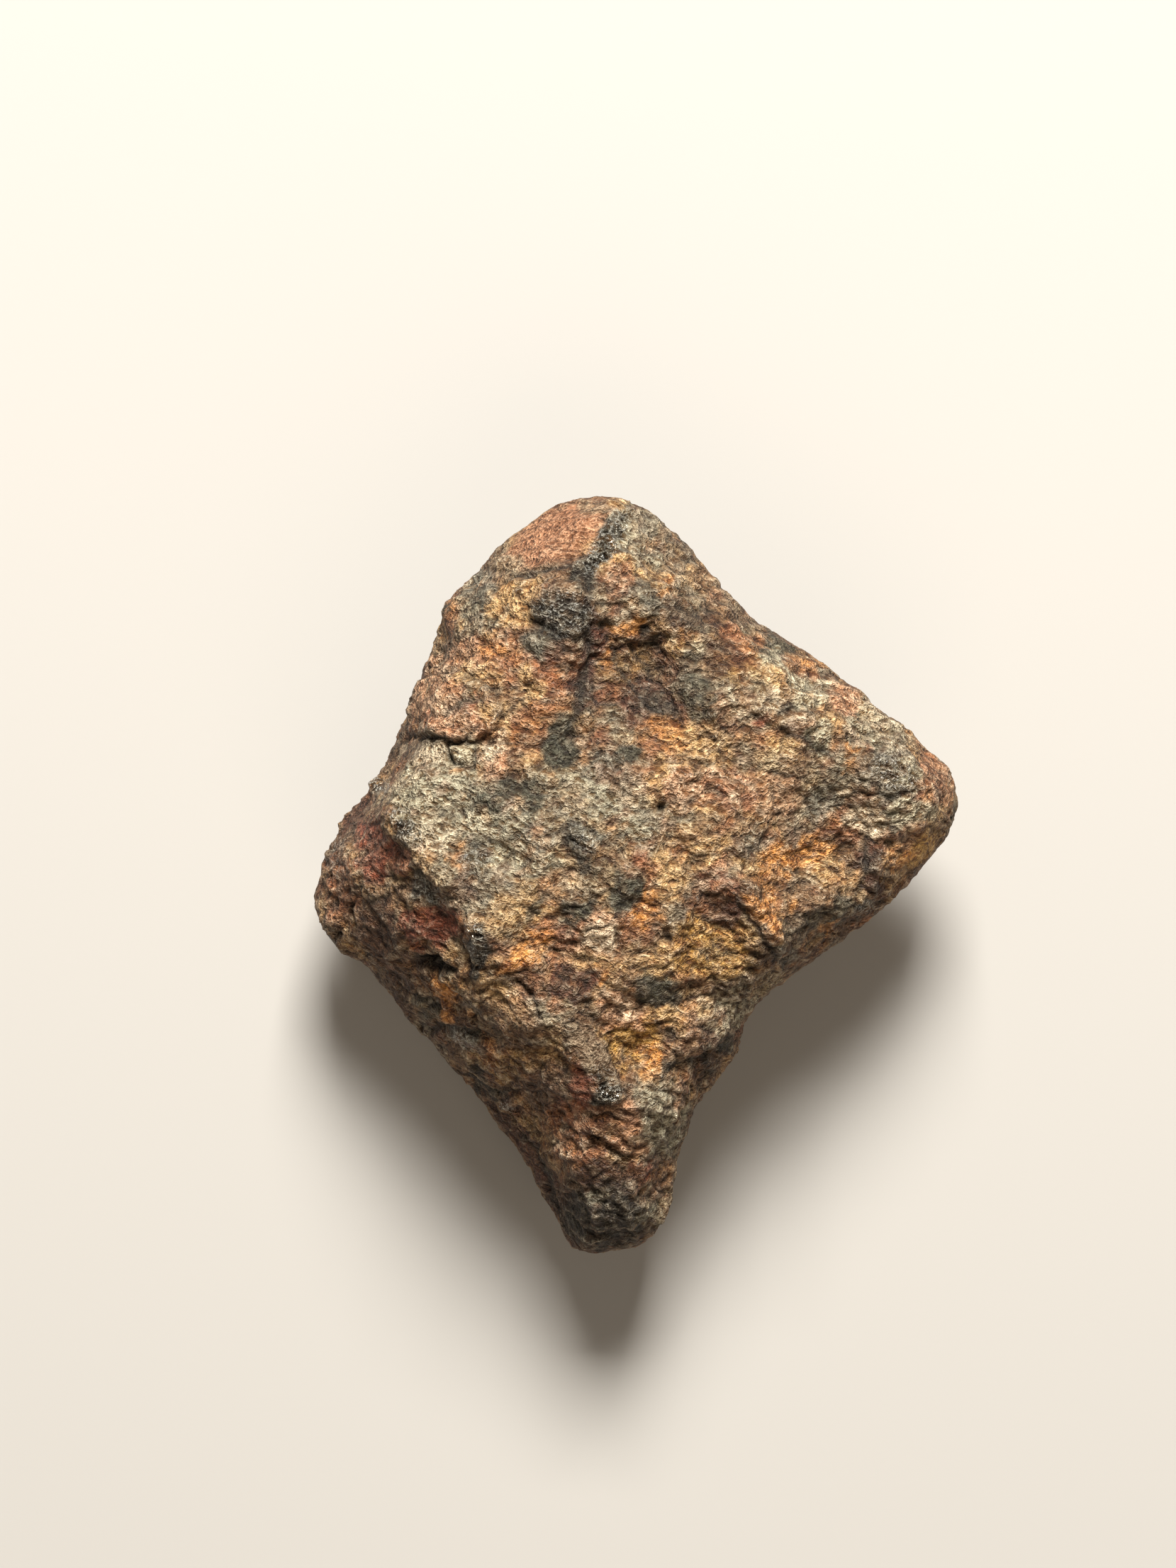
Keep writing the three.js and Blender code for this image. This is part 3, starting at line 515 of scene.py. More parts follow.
# Plates of crust that stand out from the seen face: outline, height, raggedness, softness
PLATES = [
    ([(-7.4, 4.65), (-6.5, 4.7), (-6.0, 4.5), (-5.2, 4.5), (-4.7, 4.85), (-4.3, 5.5), (-4.9, 6.3),
      (-6.0, 6.6), (-7.3, 6.4)], 0.26, 0.10, 0.05),
    ([(-6.2, 4.3), (-5.15, 4.3), (-5.2, 4.0), (-5.4, 3.75), (-5.9, 3.85)], 0.18, 0.06, 0.04),
    ([(-3.4, 9.0), (-3.0, 9.5), (-1.9, 9.6), (-1.4, 9.1), (-1.5, 8.0), (-2.1, 7.8), (-2.7, 8.2),
      (-3.2, 8.5)], 0.24, 0.16, 0.14),
    ([(-3.5, 7.8), (-2.8, 8.0), (-2.6, 7.2), (-3.1, 7.0)], 0.12, 0.14, 0.10),
    ([(-2.3, 1.75), (-1.7, 1.6), (-1.1, 1.1), (-1.3, 0.85), (-1.9, 1.2)], 0.20, 0.06, 0.05),
    ([(-1.45, -6.5), (-0.7, -6.5), (-0.4, -7.2), (-0.8, -7.35), (-1.35, -7.2)], 0.20, 0.08, 0.06),
    ([(-2.3, -4.8), (-1.5, -4.6), (-1.0, -5.4), (-0.7, -6.3), (-0.5, -6.8), (-1.4, -6.5), (-2.2, -5.9)],
     0.12, 0.05, 0.05),
    ([(4.7, 5.0), (5.1, 5.5), (5.8, 5.3), (5.9, 4.95), (5.2, 4.85)], 0.12, 0.06, 0.05),
    ([(1.2, 1.5), (1.4, 1.85), (2.1, 1.75), (2.0, 1.4), (1.5, 1.3)], 0.12, 0.06, 0.05),
]

# Round pits, with painted shade in them: x, y, radius, depth
PITS = [
    (0.85, 2.4, 0.2, 0.3),
    (-10.0, -0.9, 0.22, 0.25),
    (-9.8, -2.0, 0.22, 0.3),
    (-6.6, -2.8, 0.35, 0.3),
    (6.9, 0.9, 0.35, 0.2),
    (1.0, -1.9, 0.25, 0.2),
]

# Rippled crust: x, y, half length, half width, turn, and the ripples' lie in degrees, spacing and height
RIPPLES = [
    (8.3, 3.1, 1.2, 1.4, 0, -20, 0.36, 0.05),
    (7.7, 5.2, 1.3, 0.8, -40, -25, 0.40, 0.05),
    (-0.6, 9.4, 0.6, 0.9, 0, 8, 0.40, 0.08),
    (3.0, 1.5, 1.4, 0.6, -20, -25, 0.50, 0.07),
    (3.0, -2.2, 1.6, 1.0, -30, -35, 0.50, 0.06),
    (-4.0, -4.8, 1.2, 1.2, 0, -35, 0.60, 0.05),
    (-1.8, -8.4, 1.6, 1.2, -40, -56, 0.45, 0.03),
    (0.9, -8.2, 0.8, 1.8, 10, -72, 0.45, 0.04),
    (-0.8, -11.0, 1.8, 1.3, 0, -70, 0.50, 0.06),
]

# The smoother places of the crust: the heights between which they fade in, and how much relief they lose
SMOOTH_HEIGHTS = (3.0, 5.0)
SMOOTH_LOSS = 0.75

# Where they are: x, y, half length, half width, turn in degrees
SMOOTH_PLACES = [
    (-2.7, 11.2, 1.9, 1.1, 20),
    (-1.4, -5.7, 1.2, 0.5, -52),
    (9.4, 0.9, 0.9, 0.6, 50),
    (-6.3, 4.0, 1.2, 0.5, 0),
    (-3.7, -9.6, 2.2, 0.5, -60),
]

# How much worn crests glint everywhere
CREST_GLOSS = 0.35

# Where dark iron glints more: x, y, half length, half width, turn in degrees, strength
GLINTS = [
    (-0.9, 10.95, 1.3, 0.42, 57, 1.0),
    (-2.2, 8.6, 1.1, 0.8, -20, 0.45),
    (-8.35, 3.0, 0.3, 0.3, 0, 1.0),
    (-7.4, 1.7, 0.8, 0.3, -50, 0.8),
    (-5.3, -1.7, 0.35, 0.25, 0, 1.0),
    (-5.1, -2.4, 0.3, 0.7, 0, 0.6),
    (-5.2, 0.6, 0.5, 0.4, 0, 0.6),
    (-1.7, 1.3, 0.6, 0.3, -40, 0.6),
    (-5.6, -5.4, 0.6, 0.3, -40, 0.7),
    (-4.2, -7.6, 0.3, 0.15, -20, 1.0),
    (-0.9, -7.0, 0.5, 0.35, -20, 1.0),
    (-1.1, -6.4, 0.5, 0.3, -30, 0.5),
    (8.5, 3.4, 0.9, 0.6, -30, 0.7),
    (7.6, -1.0, 0.4, 0.3, 0, 0.8),
    (-9.9, 0.6, 0.5, 0.9, 0, 0.4),
    (-6.7, -0.5, 0.8, 0.3, -50, 0.7),
]


def smoothstep(low, high, x):
    """0 below low, 1 above high (or the other way round) and a soft rise between them."""
    t = np.clip((x - low) / (high - low), 0, 1)
    return t * t * (3 - 2 * t)


class Noise:
    """Gradient noise on a lattice of random directions that repeats after some cells."""

    CELLS = 32
    GAIN = 0.5
    CREASED_GAIN = 0.55

    def __init__(self, seed):
        directions = np.random.default_rng(seed).normal(size=(self.CELLS,) * 3 + (3,))
        self.directions = directions / np.linalg.norm(directions, axis=-1, keepdims=True)

    def __call__(self, points):
        """About -0.7 to 0.7 at each point, in lattice units."""
        cell = np.floor(points).astype(int)
        inside = points - cell
        rise = inside**3 * (inside * (inside * 6 - 15) + 10)
        total = np.zeros(len(points))
        for corner in itertools.product((0, 1), repeat=3):
            at = (cell + corner) % self.CELLS
            slope = self.directions[at[:, 0], at[:, 1], at[:, 2]]
            weight = np.where(corner, rise, 1 - rise).prod(axis=1)
            total += weight * ((inside - corner) * slope).sum(axis=1)
        return total

    def layers(self, points, wavelength, count):
        """Noise summed over layers, each half as wide as the one before."""
        total = np.zeros(len(points))
        for k in range(count):
            total += self.GAIN**k * self(points * 2**k / wavelength + 7.3 * k)
        return total

    def creased(self, points, wavelength, count):
        """As layers, but with sharp crests where each layer passes zero."""
        total = np.zeros(len(points))
        for k in range(count):
            height = 0.25 - np.abs(self(points * 2**k / wavelength + 3.1 * k))
            total += self.CREASED_GAIN**k * height
        return total


class Skin:
    """The fine mesh of the stone in millimetres, as arrays."""

    def __init__(self, obj):
        mesh = obj.data
        self.points = np.empty(len(mesh.vertices) * 3)
        mesh.vertices.foreach_get("co", self.points)
        self.points = self.points.reshape(-1, 3)
        corners = np.empty(len(mesh.loops), int)
        mesh.loops.foreach_get("vertex_index", corners)
        self.quads = corners.reshape(-1, 4)
        edges = np.empty(len(mesh.edges) * 2, int)
        mesh.edges.foreach_get("vertices", edges)
        self.edges = edges.reshape(-1, 2)
        self.valence = np.bincount(self.edges.ravel(), minlength=len(self.points))

    def neighbour_mean(self, values):
        """The mean over each point's neighbours of a value, or of a row of values."""
        values = np.asarray(values, float)
        a, b = self.edges.T
        columns = values.reshape(len(values), -1).T
        n = len(values)
        sums = [np.bincount(a, c[b], n) + np.bincount(b, c[a], n) for c in columns]
        return (np.array(sums) / self.valence).T.reshape(values.shape)

    def blurred(self, values, passes):
        """The values drawn halfway to their neighbours' mean in each pass."""
        for _ in range(passes):
            values = 0.5 * values + 0.5 * self.neighbour_mean(values)
        return values

    def normals(self):
        """The way each point faces."""
        a, b, c, d = (self.points[self.quads[:, k]] for k in range(4))
        face = np.cross(c - a, d - b)
        sums = [
            sum(np.bincount(self.quads[:, k], face[:, axis], len(self.points)) for k in range(4))
            for axis in range(3)
        ]
        total = np.array(sums).T
        return total / np.linalg.norm(total, axis=1, keepdims=True)


def line_distance(xy, points):
    """The distance in plan from each place to a line through the points."""
    nearest = np.full(len(xy), np.inf)
    for a, b in zip(np.array(points[:-1], float), np.array(points[1:], float)):
        along = np.clip(((xy - a) @ (b - a)) / ((b - a) @ (b - a)), 0, 1)
        nearest = np.minimum(nearest, np.linalg.norm(xy - a - along[:, None] * (b - a), axis=1))
    return nearest


def inside_distance(xy, outline):
    """How far inside a closed outline each place lies in plan, below 0 outside it."""
    inside = np.zeros(len(xy), bool)
    x, y = xy.T
    for (ax, ay), (bx, by) in zip(outline, outline[1:] + outline[:1]):
        if ay != by:
            crosses = (ay > y) != (by > y)
            inside ^= crosses & (x < ax + (bx - ax) * (y - ay) / (by - ay))
    distance = line_distance(xy, outline + outline[:1])
    return np.where(inside, distance, -distance)


def oval(xy, x, y, half_length, half_width, turn):
    """0 at the centre of an oval, 1 on its edge and more outside."""
    c, s = math.cos(math.radians(turn)), math.sin(math.radians(turn))
    away = xy - (x, y)
    along = (away @ (c, s)) / half_length
    across = (away @ (-s, c)) / half_width
    return np.hypot(along, across)


def remeshed(cad):
    """A copy of the solid in millimetres, in even quads."""
    mesh = cad.data.copy()
    mesh.transform(Matrix.Scale(1 / MM, 4))
    obj = bpy.data.objects.new("meteorite_surface", mesh)
    bpy.context.scene.collection.objects.link(obj)
    remesh = obj.modifiers.new("remesh", "REMESH")
    remesh.mode = "VOXEL"
    remesh.voxel_size = VOXEL
    depsgraph = bpy.context.evaluated_depsgraph_get()
    fine = bpy.data.meshes.new_from_object(obj.evaluated_get(depsgraph))
    obj.modifiers.clear()
    obj.data = fine
    fine.materials.clear()
    bpy.data.meshes.remove(mesh)
    return obj


def seen_share(normals):
    """1 on what faces up, 0 on what faces down."""
    return smoothstep(0.0, 0.35, normals[:, 2])


def ragged(points, noise):
    """A small shift in plan for each point, which makes outlines come out ragged."""
    return np.stack([noise.layers(points + start, RAGGED_LENGTH, 4) for start in (0, 40)], axis=1)


def features(points, noise):
    """The height of the named creases, plates, pits and ripples, and how far each point lies in a cut,
    where shade is painted.
    """
    height, cut = np.zeros(len(points)), np.zeros(len(points))
    shift = ragged(points, noise)
    plan = points[:, :2] + FORM_RAGGEDNESS * shift
    fade = 0.8 + 0.5 * noise.layers(points + 70, 1.2, 2)
    for line, half_width, rise in CREASES:
        share = np.exp(-((line_distance(plan, line) / half_width) ** 2))
        height += rise * fade * share
        if rise < 0:
            cut = np.maximum(cut, share)
    for outline, rise, raggedness, softness in PLATES:
        depth = inside_distance(points[:, :2] + raggedness * shift, outline)
        height += rise * smoothstep(-softness, softness, depth)
    for x, y, radius, depth in PITS:
        share = smoothstep(1.3, 0.4, np.hypot(*(plan - (x, y)).T) / radius)
        height -= depth * share
        cut = np.maximum(cut, share)
    wander = 0.5 * noise.layers(points + 90, 1.3, 2)
    for x, y, half_length, half_width, turn, lie, spacing, rise in RIPPLES:
        lie = math.radians(lie)
        across = (plan @ (-math.sin(lie), math.cos(lie))) / spacing
        wave = 4 * np.abs((across + wander) % 1 - 0.5) - 1
        share = smoothstep(1.2, 0.6, oval(plan, x, y, half_length, half_width, turn))
        height += rise * wave * share
    return height, cut


def smooth_share(points):
    """1 where the crust is smooth, 0 elsewhere."""
    share = np.zeros(len(points))
    for place in SMOOTH_PLACES:
        share = np.maximum(share, smoothstep(1.15, 0.7, oval(points[:, :2], *place)))
    return share * smoothstep(*SMOOTH_HEIGHTS, points[:, 2])


def scallops(points, size, seed):
    """Shallow tilted hollows of about one size that meet in sharp ridges, about -0.3 to 0.3."""
    rng = np.random.default_rng(seed)
    cells = 24  # they repeat after as many
    centres = rng.random((cells,) * 3 + (3,))
    tilts = rng.normal(scale=0.4, size=(cells,) * 3 + (3,))
    places = points / size
    cell = np.floor(places).astype(int)
    lowest = np.full(len(points), np.inf)
    for corner in itertools.product((-1, 0, 1), repeat=3):
        at = (cell + corner) % cells
        at = at[:, 0], at[:, 1], at[:, 2]
        away = places - (cell + corner) - centres[at]
        lowest = np.minimum(lowest, 0.7 * (away**2).sum(axis=1) + (away * tilts[at]).sum(axis=1))
    return lowest - lowest.mean()


def steps(points, across, noise, spacing, rise, wander, wavelength):
    """Slow rises and quick falls from -0.5 to 0.5 that follow each other across wandering lines."""
    phase = (across / spacing + wander * noise.layers(points, wavelength, 3)) % 1
    return np.where(phase < rise, phase / rise, (1 - phase) / (1 - rise)) - 0.5


def crust(points, normals, noise, other_noise):
    """Creased lumps, scalloped hollows and small scarps and ledges that run across the light."""
    shift = np.stack([other_noise(points / LUMP_SIZE + k) for k in (0, 11, 23)], axis=1)
    bent = points + CRUST_BEND * shift
    level = np.abs(normals[:, 2])
    lumps = LUMP_HEIGHT * noise.creased(bent, LUMP_SIZE, 4)
    depth = HOLLOW_DEPTH + FLANK_DEPTH * smoothstep(0.85, 0.45, level)
    hollows = depth * scallops(bent, HOLLOW_SIZE, HOLLOW_SEED)
    turn = math.radians(STEP_TURN)
    across = points[:, 0] * math.sin(turn) - points[:, 1] * math.cos(turn)
    where = smoothstep(-0.15, 0.25, other_noise.layers(points + 50, 2.6, 2))
    scarps = SCARP_HEIGHT * where * steps(points, across, other_noise, *SCARPS)
    ledges = LEDGE_HEIGHT * steps(points + 15, across, noise, *LEDGES)
    upright = smoothstep(0.5, 0.05, level)
    return (lumps + hollows + scarps + ledges) * (1 - UPRIGHT_LOSS * upright)


def shape(skin):
    """Moves the skin's points, and keeps where they lay at rest and how far each lies in a cut, for the
    painted shade there.
    """
    noise, other_noise = (Noise(seed) for seed in SHAPE_SEEDS)
    skin.rest = skin.blurred(skin.points, SMOOTHING_PASSES)
    skin.points = skin.rest
    normals = skin.normals()
    seen = seen_share(normals)
    rough = 1 - SMOOTH_LOSS * smooth_share(skin.rest)
    free = smoothstep(0, FLOOR_ZONE, skin.rest[:, 2])
    height, cut = features(skin.rest, other_noise)
    height = seen * height + rough * crust(skin.rest, normals, noise, other_noise) - SINK
    skin.cut = seen * cut
    skin.points = skin.rest + normals * (height * free)[:, None]
    normals = skin.normals()
    grain = GRAIN_HEIGHT * noise.creased(skin.rest + 20, GRAIN_SIZE, 2)
    grain += SPECK_HEIGHT * other_noise(skin.rest / SPECK_SIZE)
    skin.points = skin.points + normals * (rough * grain * free)[:, None]
    skin.points[:, 2] = np.maximum(skin.points[:, 2], 0)
    return normals


def standing_out(skin, normals, passes):
    """How far each point stands out from its blurred surroundings, in millimetres."""
    return ((skin.points - skin.blurred(skin.points, passes)) * normals).sum(axis=1)


def linear(colour):
    """A colour like the palette's in linear light."""
    c = np.array(colour) / 255
    return np.where(c <= 0.04045, c / 12.92, ((c + 0.055) / 1.055) ** 2.4)


def opaque(colour):
    """A colour like the palette's as a socket takes it, with its opacity."""
    return (*linear(colour), 1)


def tones(skin, normals):
    """The colour of each point and how far it lies on a crest.

    It is mottled rust all over, with patches on the seen face, painted shade on the flanks, in cuts and in
    hollows, and a painted highlight on the crests.
    """
    noise, other_noise = (Noise(seed) for seed in COLOUR_SEEDS)
    points = skin.rest
    colour = {name: linear(value) for name, value in PALETTE.items()}

    def layer(tone, name, share):
        """The tone drawn towards a colour by a share."""
        return tone + (colour[name] - tone) * np.clip(share, 0, 1)[:, None]

    tone = np.tile(colour["brown"], (len(points), 1))
    for k, (name, wavelength, low, high, strength) in enumerate(BROAD_MOTTLES):
        share = smoothstep(low, high, noise.layers(points + 30 * k, wavelength, 4))
        tone = layer(tone, name, strength * share)
    # Painted shade: the steep flanks are drawn towards umber, as if turned from the light
    flank = smoothstep(0.75, 0.35, np.abs(normals[:, 2]))
    tone = layer(tone, "umber", FLANK_SHADE * flank)

    seen, smooth = seen_share(normals), smooth_share(points)
    raggedness = PATCH_RAGGEDNESS * (1 - 0.6 * smooth)
    plan = points[:, :2] + raggedness[:, None] * ragged(points, other_noise)
    dark = np.zeros(len(points))
    for x, y, half_length, half_width, turn, name, strength in PATCHES:
        away = oval(plan, x, y, half_length, half_width, turn)
        share = strength * seen * smoothstep(1.25, 0.75, away)
        tone = layer(tone, name, share)
        dark = np.maximum(dark, share) if name in DARK else dark * (1 - share)
    for k, (name, wavelength, low, high, strength) in enumerate(MOTTLES):
        share = smoothstep(low, high, noise.layers(points + 110 + 20 * k, wavelength, 4))
        tone = layer(tone, name, strength * share * (1 - 0.8 * smooth) * (1 - 0.7 * dark))

    small, large = (standing_out(skin, normals, passes) for passes in (SMALL_PASSES, LARGE_PASSES))
    hollow = np.clip(0.6 * smoothstep(0.0, -0.02, small) + 0.7 * smoothstep(0.0, -0.12, large), 0, 1)
    crest = np.clip(0.5 * smoothstep(0.004, 0.03, small) + 0.4 * smoothstep(0.02, 0.14, large), 0, 1)
    # Painted shade: the hollows and the cuts are drawn towards black
    tone = layer(tone, "black", np.maximum(HOLLOW_SHADE * hollow, CUT_SHADE * skin.cut))
    # Painted highlight: the crests are drawn towards pale
    tone = layer(tone, "pale", CREST_HIGHLIGHT * crest)
    return tone, crest


def gloss_share(skin, crest):
    """Where bare dark iron glints: the chips and the worn crests. The material makes them smooth and
    metallic, and paints small glints on them.
    """
    share = CREST_GLOSS * crest
    for x, y, half_length, half_width, turn, strength in GLINTS:
        away = oval(skin.rest[:, :2], x, y, half_length, half_width, turn)
        share = np.maximum(share, strength * smoothstep(1.2, 0.6, away))
    return share


def store(obj, name, kind, values):
    """Keeps a value or a colour for each point on the mesh, for the material to read."""
    attribute = obj.data.attributes.new(name, kind, "POINT")
    key = "color" if kind == "FLOAT_COLOR" else "value"
    attribute.data.foreach_set(key, np.asarray(values, np.float32).ravel())


def make_surface(cad):
    """The stone's skin with its tone and gloss."""
    obj = remeshed(cad)
    skin = Skin(obj)
    normals = shape(skin)
    tone, crest = tones(skin, normals)
    store(obj, "tone", "FLOAT_COLOR", np.column_stack([tone, np.ones(len(tone))]))
    store(obj, "gloss", "FLOAT", gloss_share(skin, crest))
    obj.data.vertices.foreach_set("co", (skin.points * MM).ravel())
    obj.data.update()
    obj.data.shade_smooth()
    return obj


class Nodes:
    """Adds shader nodes and links them in one call each."""

    def __init__(self, material):
        material.use_nodes = True
        self.tree = material.node_tree
        self.tree.nodes.clear()

    def add(self, kind, inputs=(), **settings):
        """A node, with a link or a value for each of its inputs that is given."""
        node = self.tree.nodes.new(kind)
        for name, value in settings.items():
            setattr(node, name, value)
        for key, value in dict(inputs).items():
            if isinstance(value, bpy.types.NodeSocket):
                self.tree.links.new(value, node.inputs[key])
            else:
                node.inputs[key].default_value = value
        return node

    def math(self, operation, a, b, c=0.0):
        return self.add("ShaderNodeMath", {0: a, 1: b, 2: c}, operation=operation).outputs[0]

    def rise(self, value, low, high, top=1.0):
        """0 below low and top above high (or the other way round)."""
        inputs = {"Value": value, "From Min": low, "From Max": high, "To Min": 0.0, "To Max": top}
        return self.add("ShaderNodeMapRange", inputs, interpolation_type="SMOOTHSTEP").outputs[0]

    def mix(self, share, a, b):
        """From colour a to colour b by a share."""
        return self.add("ShaderNodeMix", {0: share, 6: a, 7: b}, data_type="RGBA").outputs[2]

    def stretch(self, value, factor, start=(0, 0, 0)):
        """A vector or colour times a factor, plus a start."""
        inputs = {0: value, 1: factor, 2: start}
        return self.add("ShaderNodeVectorMath", inputs, operation="MULTIPLY_ADD").outputs[0]

    def noise(self, place, scale, detail, distortion=0.0):
        """Soft noise of about 0.3 to 0.7."""
        inputs = {"Vector": place, "Scale": scale, "Detail": detail, "Distortion": distortion}
        return self.add("ShaderNodeTexNoise", inputs).outputs["Fac"]

    def turned(self, place, size, turn):
        """The place in lengths of a turned box of a size in millimetres."""
        turn, size = tuple(math.radians(angle) for angle in turn), tuple(side * MM for side in size)
        inputs = {"Vector": place, "Rotation": turn, "Scale": size}
        return self.add("ShaderNodeMapping", inputs, vector_type="TEXTURE").outputs[0]

    def away_from_crest(self, place, size, turn, detail):
        """0 on sharp crest lines and up to about 0.25 in the valleys between them."""
        noise = self.noise(self.turned(place, size, turn), 1.0, detail)
        return self.math("ABSOLUTE", self.math("SUBTRACT", noise, 0.5), 0.0)

    def surface(self, inputs):
        """Ends the material in one shader."""
        shader = self.add("ShaderNodeBsdfPrincipled", inputs)
        self.add("ShaderNodeOutputMaterial", {"Surface": shader.outputs[0]})


def matted_fibres(nodes, place, bent):
    """The highest of three sets of fibres that lie different ways, each highest in places of its own."""
    where = nodes.noise(place, PART_WAVES / MM, 2.0)
    masks = [nodes.rise(where, 0.52, 0.44), nodes.rise(where, 0.48, 0.56), 0.5]
    fibres = 0.0
    for turn, mask in zip(FIBRE_TURNS, masks):
        weight = nodes.math("MULTIPLY_ADD", mask, 0.12, 0.88)
        fibre = nodes.noise(nodes.turned(bent, FIBRE_SIZE, turn), 1.0, 2.0, 0.15)
        fibres = nodes.math("MAXIMUM", fibres, nodes.math("MULTIPLY", fibre, weight))
    return fibres


def small_flakes(nodes, bent, scatter):
    """0 at the foot of each small flake and 1 at its lip."""
    downhill = nodes.add("ShaderNodeVectorMath", {0: bent, 1: FLAKE_FALL}, operation="DOT_PRODUCT")
    flakes = nodes.math("MULTIPLY_ADD", downhill.outputs["Value"], 1 / (FLAKE_SPACING * MM), 20.0)
    return nodes.math("FRACT", nodes.math("MULTIPLY_ADD", scatter, FLAKE_WANDER, flakes), 0.0)


def rust_parts(nodes, gloss):
    """The parts of the rust, as the names in BUMPS, each a number over the surface."""
    place = nodes.add("ShaderNodeTexCoord").outputs["Object"]
    bend = nodes.add("ShaderNodeTexNoise", {"Vector": place, "Scale": BEND_WAVES / MM, "Detail": 2.0})
    bent = nodes.stretch(bend.outputs["Color"], (FIBRE_BEND * MM,) * 3, place)
    scatter = nodes.noise(place, SCATTER_WAVES / MM, 4.0, 0.4)
    fibres = nodes.math("SUBTRACT", matted_fibres(nodes, place, bent), 0.065)
    fibres = nodes.math("MULTIPLY_ADD", scatter, 0.12, fibres)
    return {
        "fibres": nodes.math("MULTIPLY_ADD", gloss, 0.03, fibres),
        "flakes": small_flakes(nodes, bent, scatter),
        "clumps": nodes.noise(place, CLUMP_WAVES / MM, 3.0, 1.0),
        "gaps": nodes.noise(bent, GAP_WAVES / MM, 3.0, 0.3),
        "ridges": nodes.away_from_crest(bent, RIDGE_SIZE, RIDGE_TURN, 3.0),
        "fine ridges": nodes.away_from_crest(bent, FINE_SIZE, FINE_TURN, 2.0),
    }


def rust_colour(nodes, parts, tone, gloss):
    """The tone with pale strands and a painted highlight on the crests, silver and painted glints where
    iron glints, and painted shade in the gaps, valleys, low clumps and flake feet between them.
    """
    light = nodes.add("ShaderNodeRGBToBW", {"Color": tone}).outputs[0]
    lit = nodes.stretch(tone, LIT_TONE, nodes.stretch(light, LIT_LIGHTNESS, LIT_START))
    deep_shade, shadow = nodes.stretch(tone, DEEP_SHADE), nodes.stretch(tone, SHADOW)
    strand_and_highlight = nodes.mix(gloss, lit, opaque(PALETTE["silver"]))
    fibres, flakes, clumps, gaps = (parts[name] for name in ("fibres", "flakes", "clumps", "gaps"))
    valleys = nodes.math("MULTIPLY_ADD", parts["fine ridges"], 0.5, parts["ridges"])
    loose = nodes.rise(gaps, 0.36, 0.54)
    # Where each flake's lip gets a painted highlight and its foot a painted shadow
    lip = nodes.math("MULTIPLY", nodes.rise(flakes, 0.78, 0.96), loose)
    foot = nodes.math("MULTIPLY", nodes.rise(flakes, 0.26, 0.04), loose)
    # Where small painted glints go on glossy iron
    painted_glints = nodes.math("MULTIPLY", gloss, nodes.rise(gaps, 0.60, 0.66))
    layers = [
        # Painted shade in the low clumps, and a painted highlight on the raised ones
        (nodes.rise(clumps, 0.50, 0.34, 0.5), deep_shade),
        (nodes.rise(clumps, 0.52, 0.68, 0.4), lit),
        # Pale fibres, then a painted highlight on the crest lines and painted shade in the valleys and the
        # gaps
        (nodes.rise(fibres, 0.59, 0.65, 0.8), strand_and_highlight),
        (nodes.rise(valleys, 0.06, 0.0, 0.9), strand_and_highlight),
        (nodes.rise(valleys, 0.09, 0.19, 0.85), deep_shade),
        (nodes.rise(gaps, 0.46, 0.38, 0.5), deep_shade),
        # A painted highlight on each flake's lip and a painted shadow at its foot
        (nodes.math("MULTIPLY", lip, 0.4), strand_and_highlight),
        (nodes.math("MULTIPLY", foot, 0.75), shadow),
        # Painted glints on glossy iron
        (nodes.math("MULTIPLY", painted_glints, 0.5), opaque(PALETTE["painted_glint"])),
    ]
    colour = tone
    for share, over in layers:
        colour = nodes.mix(share, colour, over)
    return colour


def rust_material():
    """Matted fibres, ridges and flakes over clumps, in the tone of each point, with painted highlights on
    their crests and painted shade in their low places.
    """
    material = bpy.data.materials.new("rusted_iron")
    nodes = Nodes(material)
    tone = nodes.add("ShaderNodeAttribute", attribute_name="tone").outputs["Color"]
    gloss = nodes.add("ShaderNodeAttribute", attribute_name="gloss").outputs["Fac"]
    parts = rust_parts(nodes, gloss)
    height = 0.0
    for name, rise in BUMPS.items():
        height = nodes.math("MULTIPLY_ADD", parts[name], rise, height)
    bump = nodes.add("ShaderNodeBump", {"Height": height, "Distance": MM, "Strength": 1.0})
    nodes.surface(
        {
            "Base Color": rust_colour(nodes, parts, tone, gloss),
            "Metallic": nodes.math("MULTIPLY", gloss, IRON_METAL),
            "Roughness": nodes.math("MULTIPLY_ADD", gloss, -IRON_SMOOTHNESS, ROUGHNESS),
            "Normal": bump.outputs[0],
            "Specular IOR Level": SPECULAR,
        }
    )
    return material


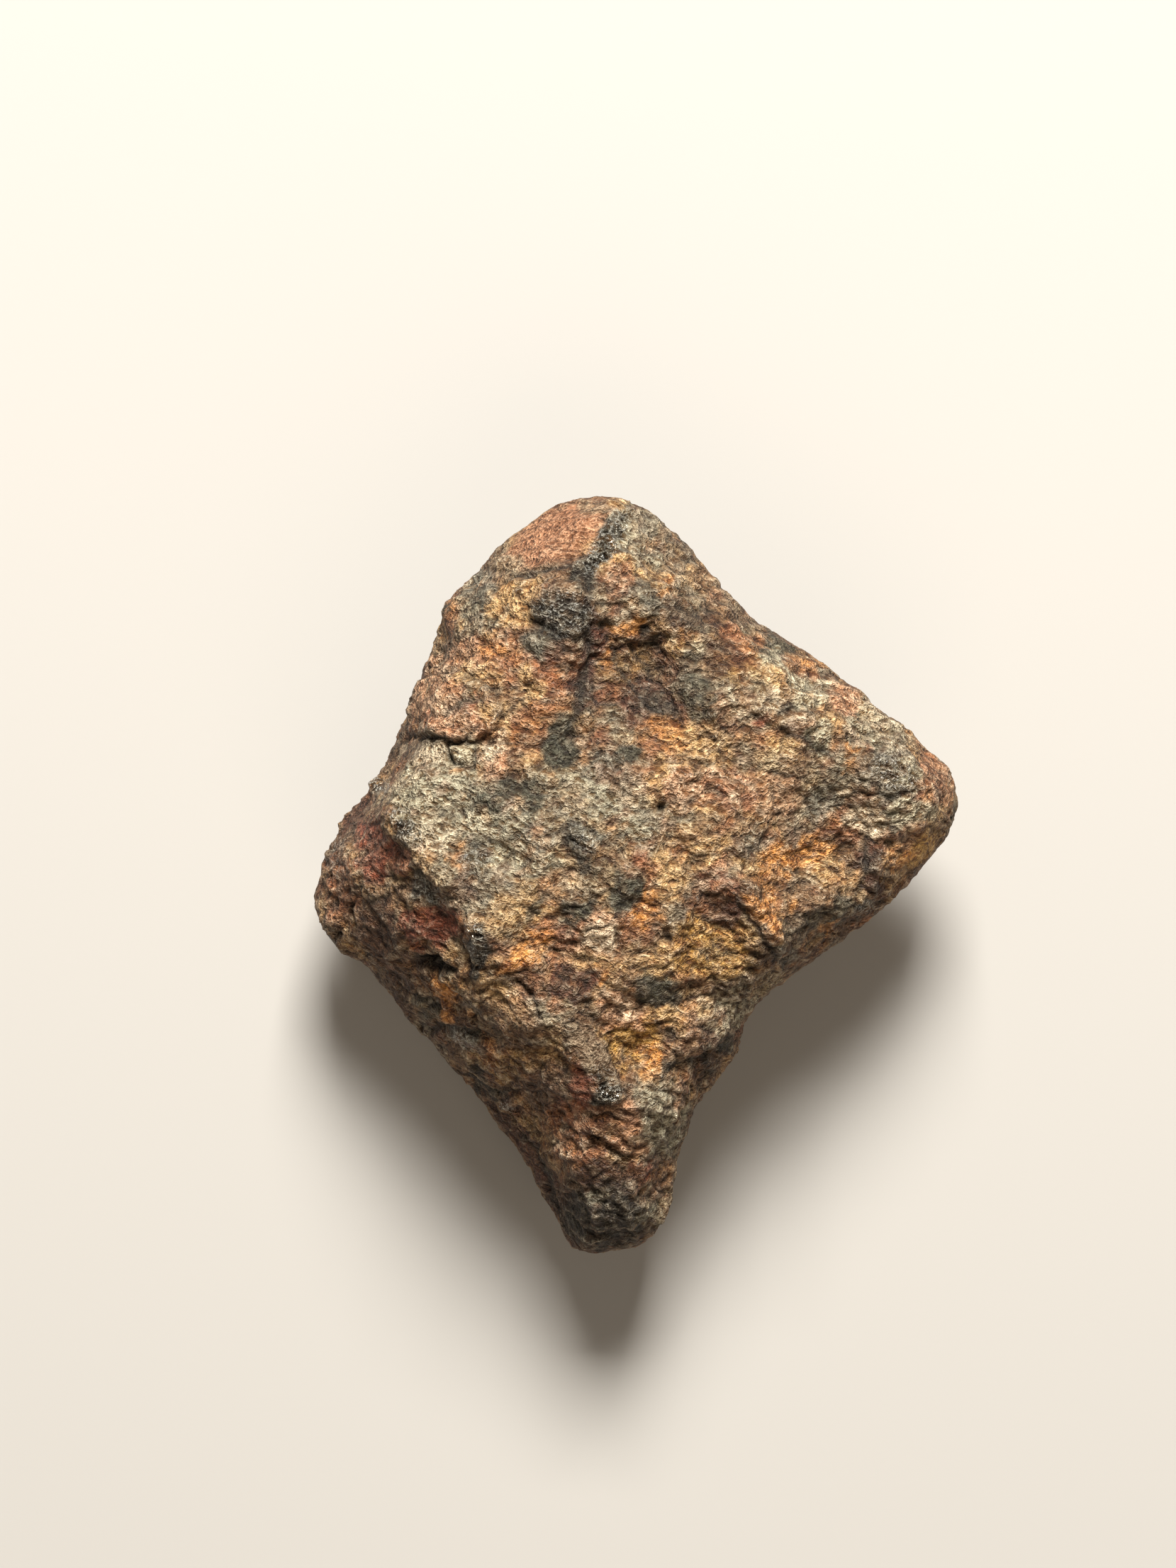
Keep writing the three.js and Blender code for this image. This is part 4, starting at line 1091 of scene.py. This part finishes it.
def make_table():
    """A plain pale table under the stone."""
    bpy.ops.mesh.primitive_plane_add(size=TABLE_SIDE, location=(0, 0, -TABLE_DROP))
    table = bpy.context.object
    table.name = "table"
    material = bpy.data.materials.new("pale_table")
    Nodes(material).surface({"Base Color": opaque(TABLE_COLOUR), "Roughness": 0.9})
    table.data.materials.append(material)


def make_light(name, turn, elevation, distance, side, power, colour):
    """A square soft light aimed at the stone."""
    data = bpy.data.lights.new(name, "AREA")
    data.size = side
    data.energy = power
    data.color = colour
    light = bpy.data.objects.new(name, data)
    t, e = math.radians(turn), math.radians(elevation)
    away = Vector((math.cos(e) * math.cos(t), math.cos(e) * math.sin(t), math.sin(e)))
    light.location = distance * away
    light.rotation_euler = away.to_track_quat("Z", "Y").to_euler()
    bpy.context.scene.collection.objects.link(light)


def make_lights():
    """The key light from behind the knob, the warm fill from the prong's side and the light of the room."""
    for name, values in LIGHTS.items():
        make_light(name, *values)
    world = bpy.data.worlds.new("room")
    bpy.context.scene.world = world
    world.use_nodes = True
    background = world.node_tree.nodes["Background"]
    background.inputs[0].default_value = ROOM_COLOUR
    background.inputs[1].default_value = ROOM_STRENGTH


def make_camera():
    """Straight above, with the stone where and as large as it is in the photograph's frame."""
    data = bpy.data.cameras.new("camera")
    data.sensor_width = SENSOR
    data.lens = SENSOR * CAMERA_DISTANCE / (PHOTO_HEIGHT / PIXELS_PER_MM * MM)
    data.clip_start = CLIP_START
    camera = bpy.data.objects.new("camera", data)
    x = (PHOTO_WIDTH / 2 - STONE_CENTRE[0]) / PIXELS_PER_MM * MM
    y = (STONE_CENTRE[1] - PHOTO_HEIGHT / 2) / PIXELS_PER_MM * MM
    camera.location = (x, y, OUTLINE_HEIGHT + CAMERA_DISTANCE)
    bpy.context.scene.collection.objects.link(camera)
    bpy.context.scene.camera = camera


stone = make_surface(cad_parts["meteorite"])
stone.data.materials.append(rust_material())
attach(stone, "root")
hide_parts("meteorite")
make_table()
make_lights()
make_camera()
bpy.context.scene.view_settings.view_transform = "Standard"
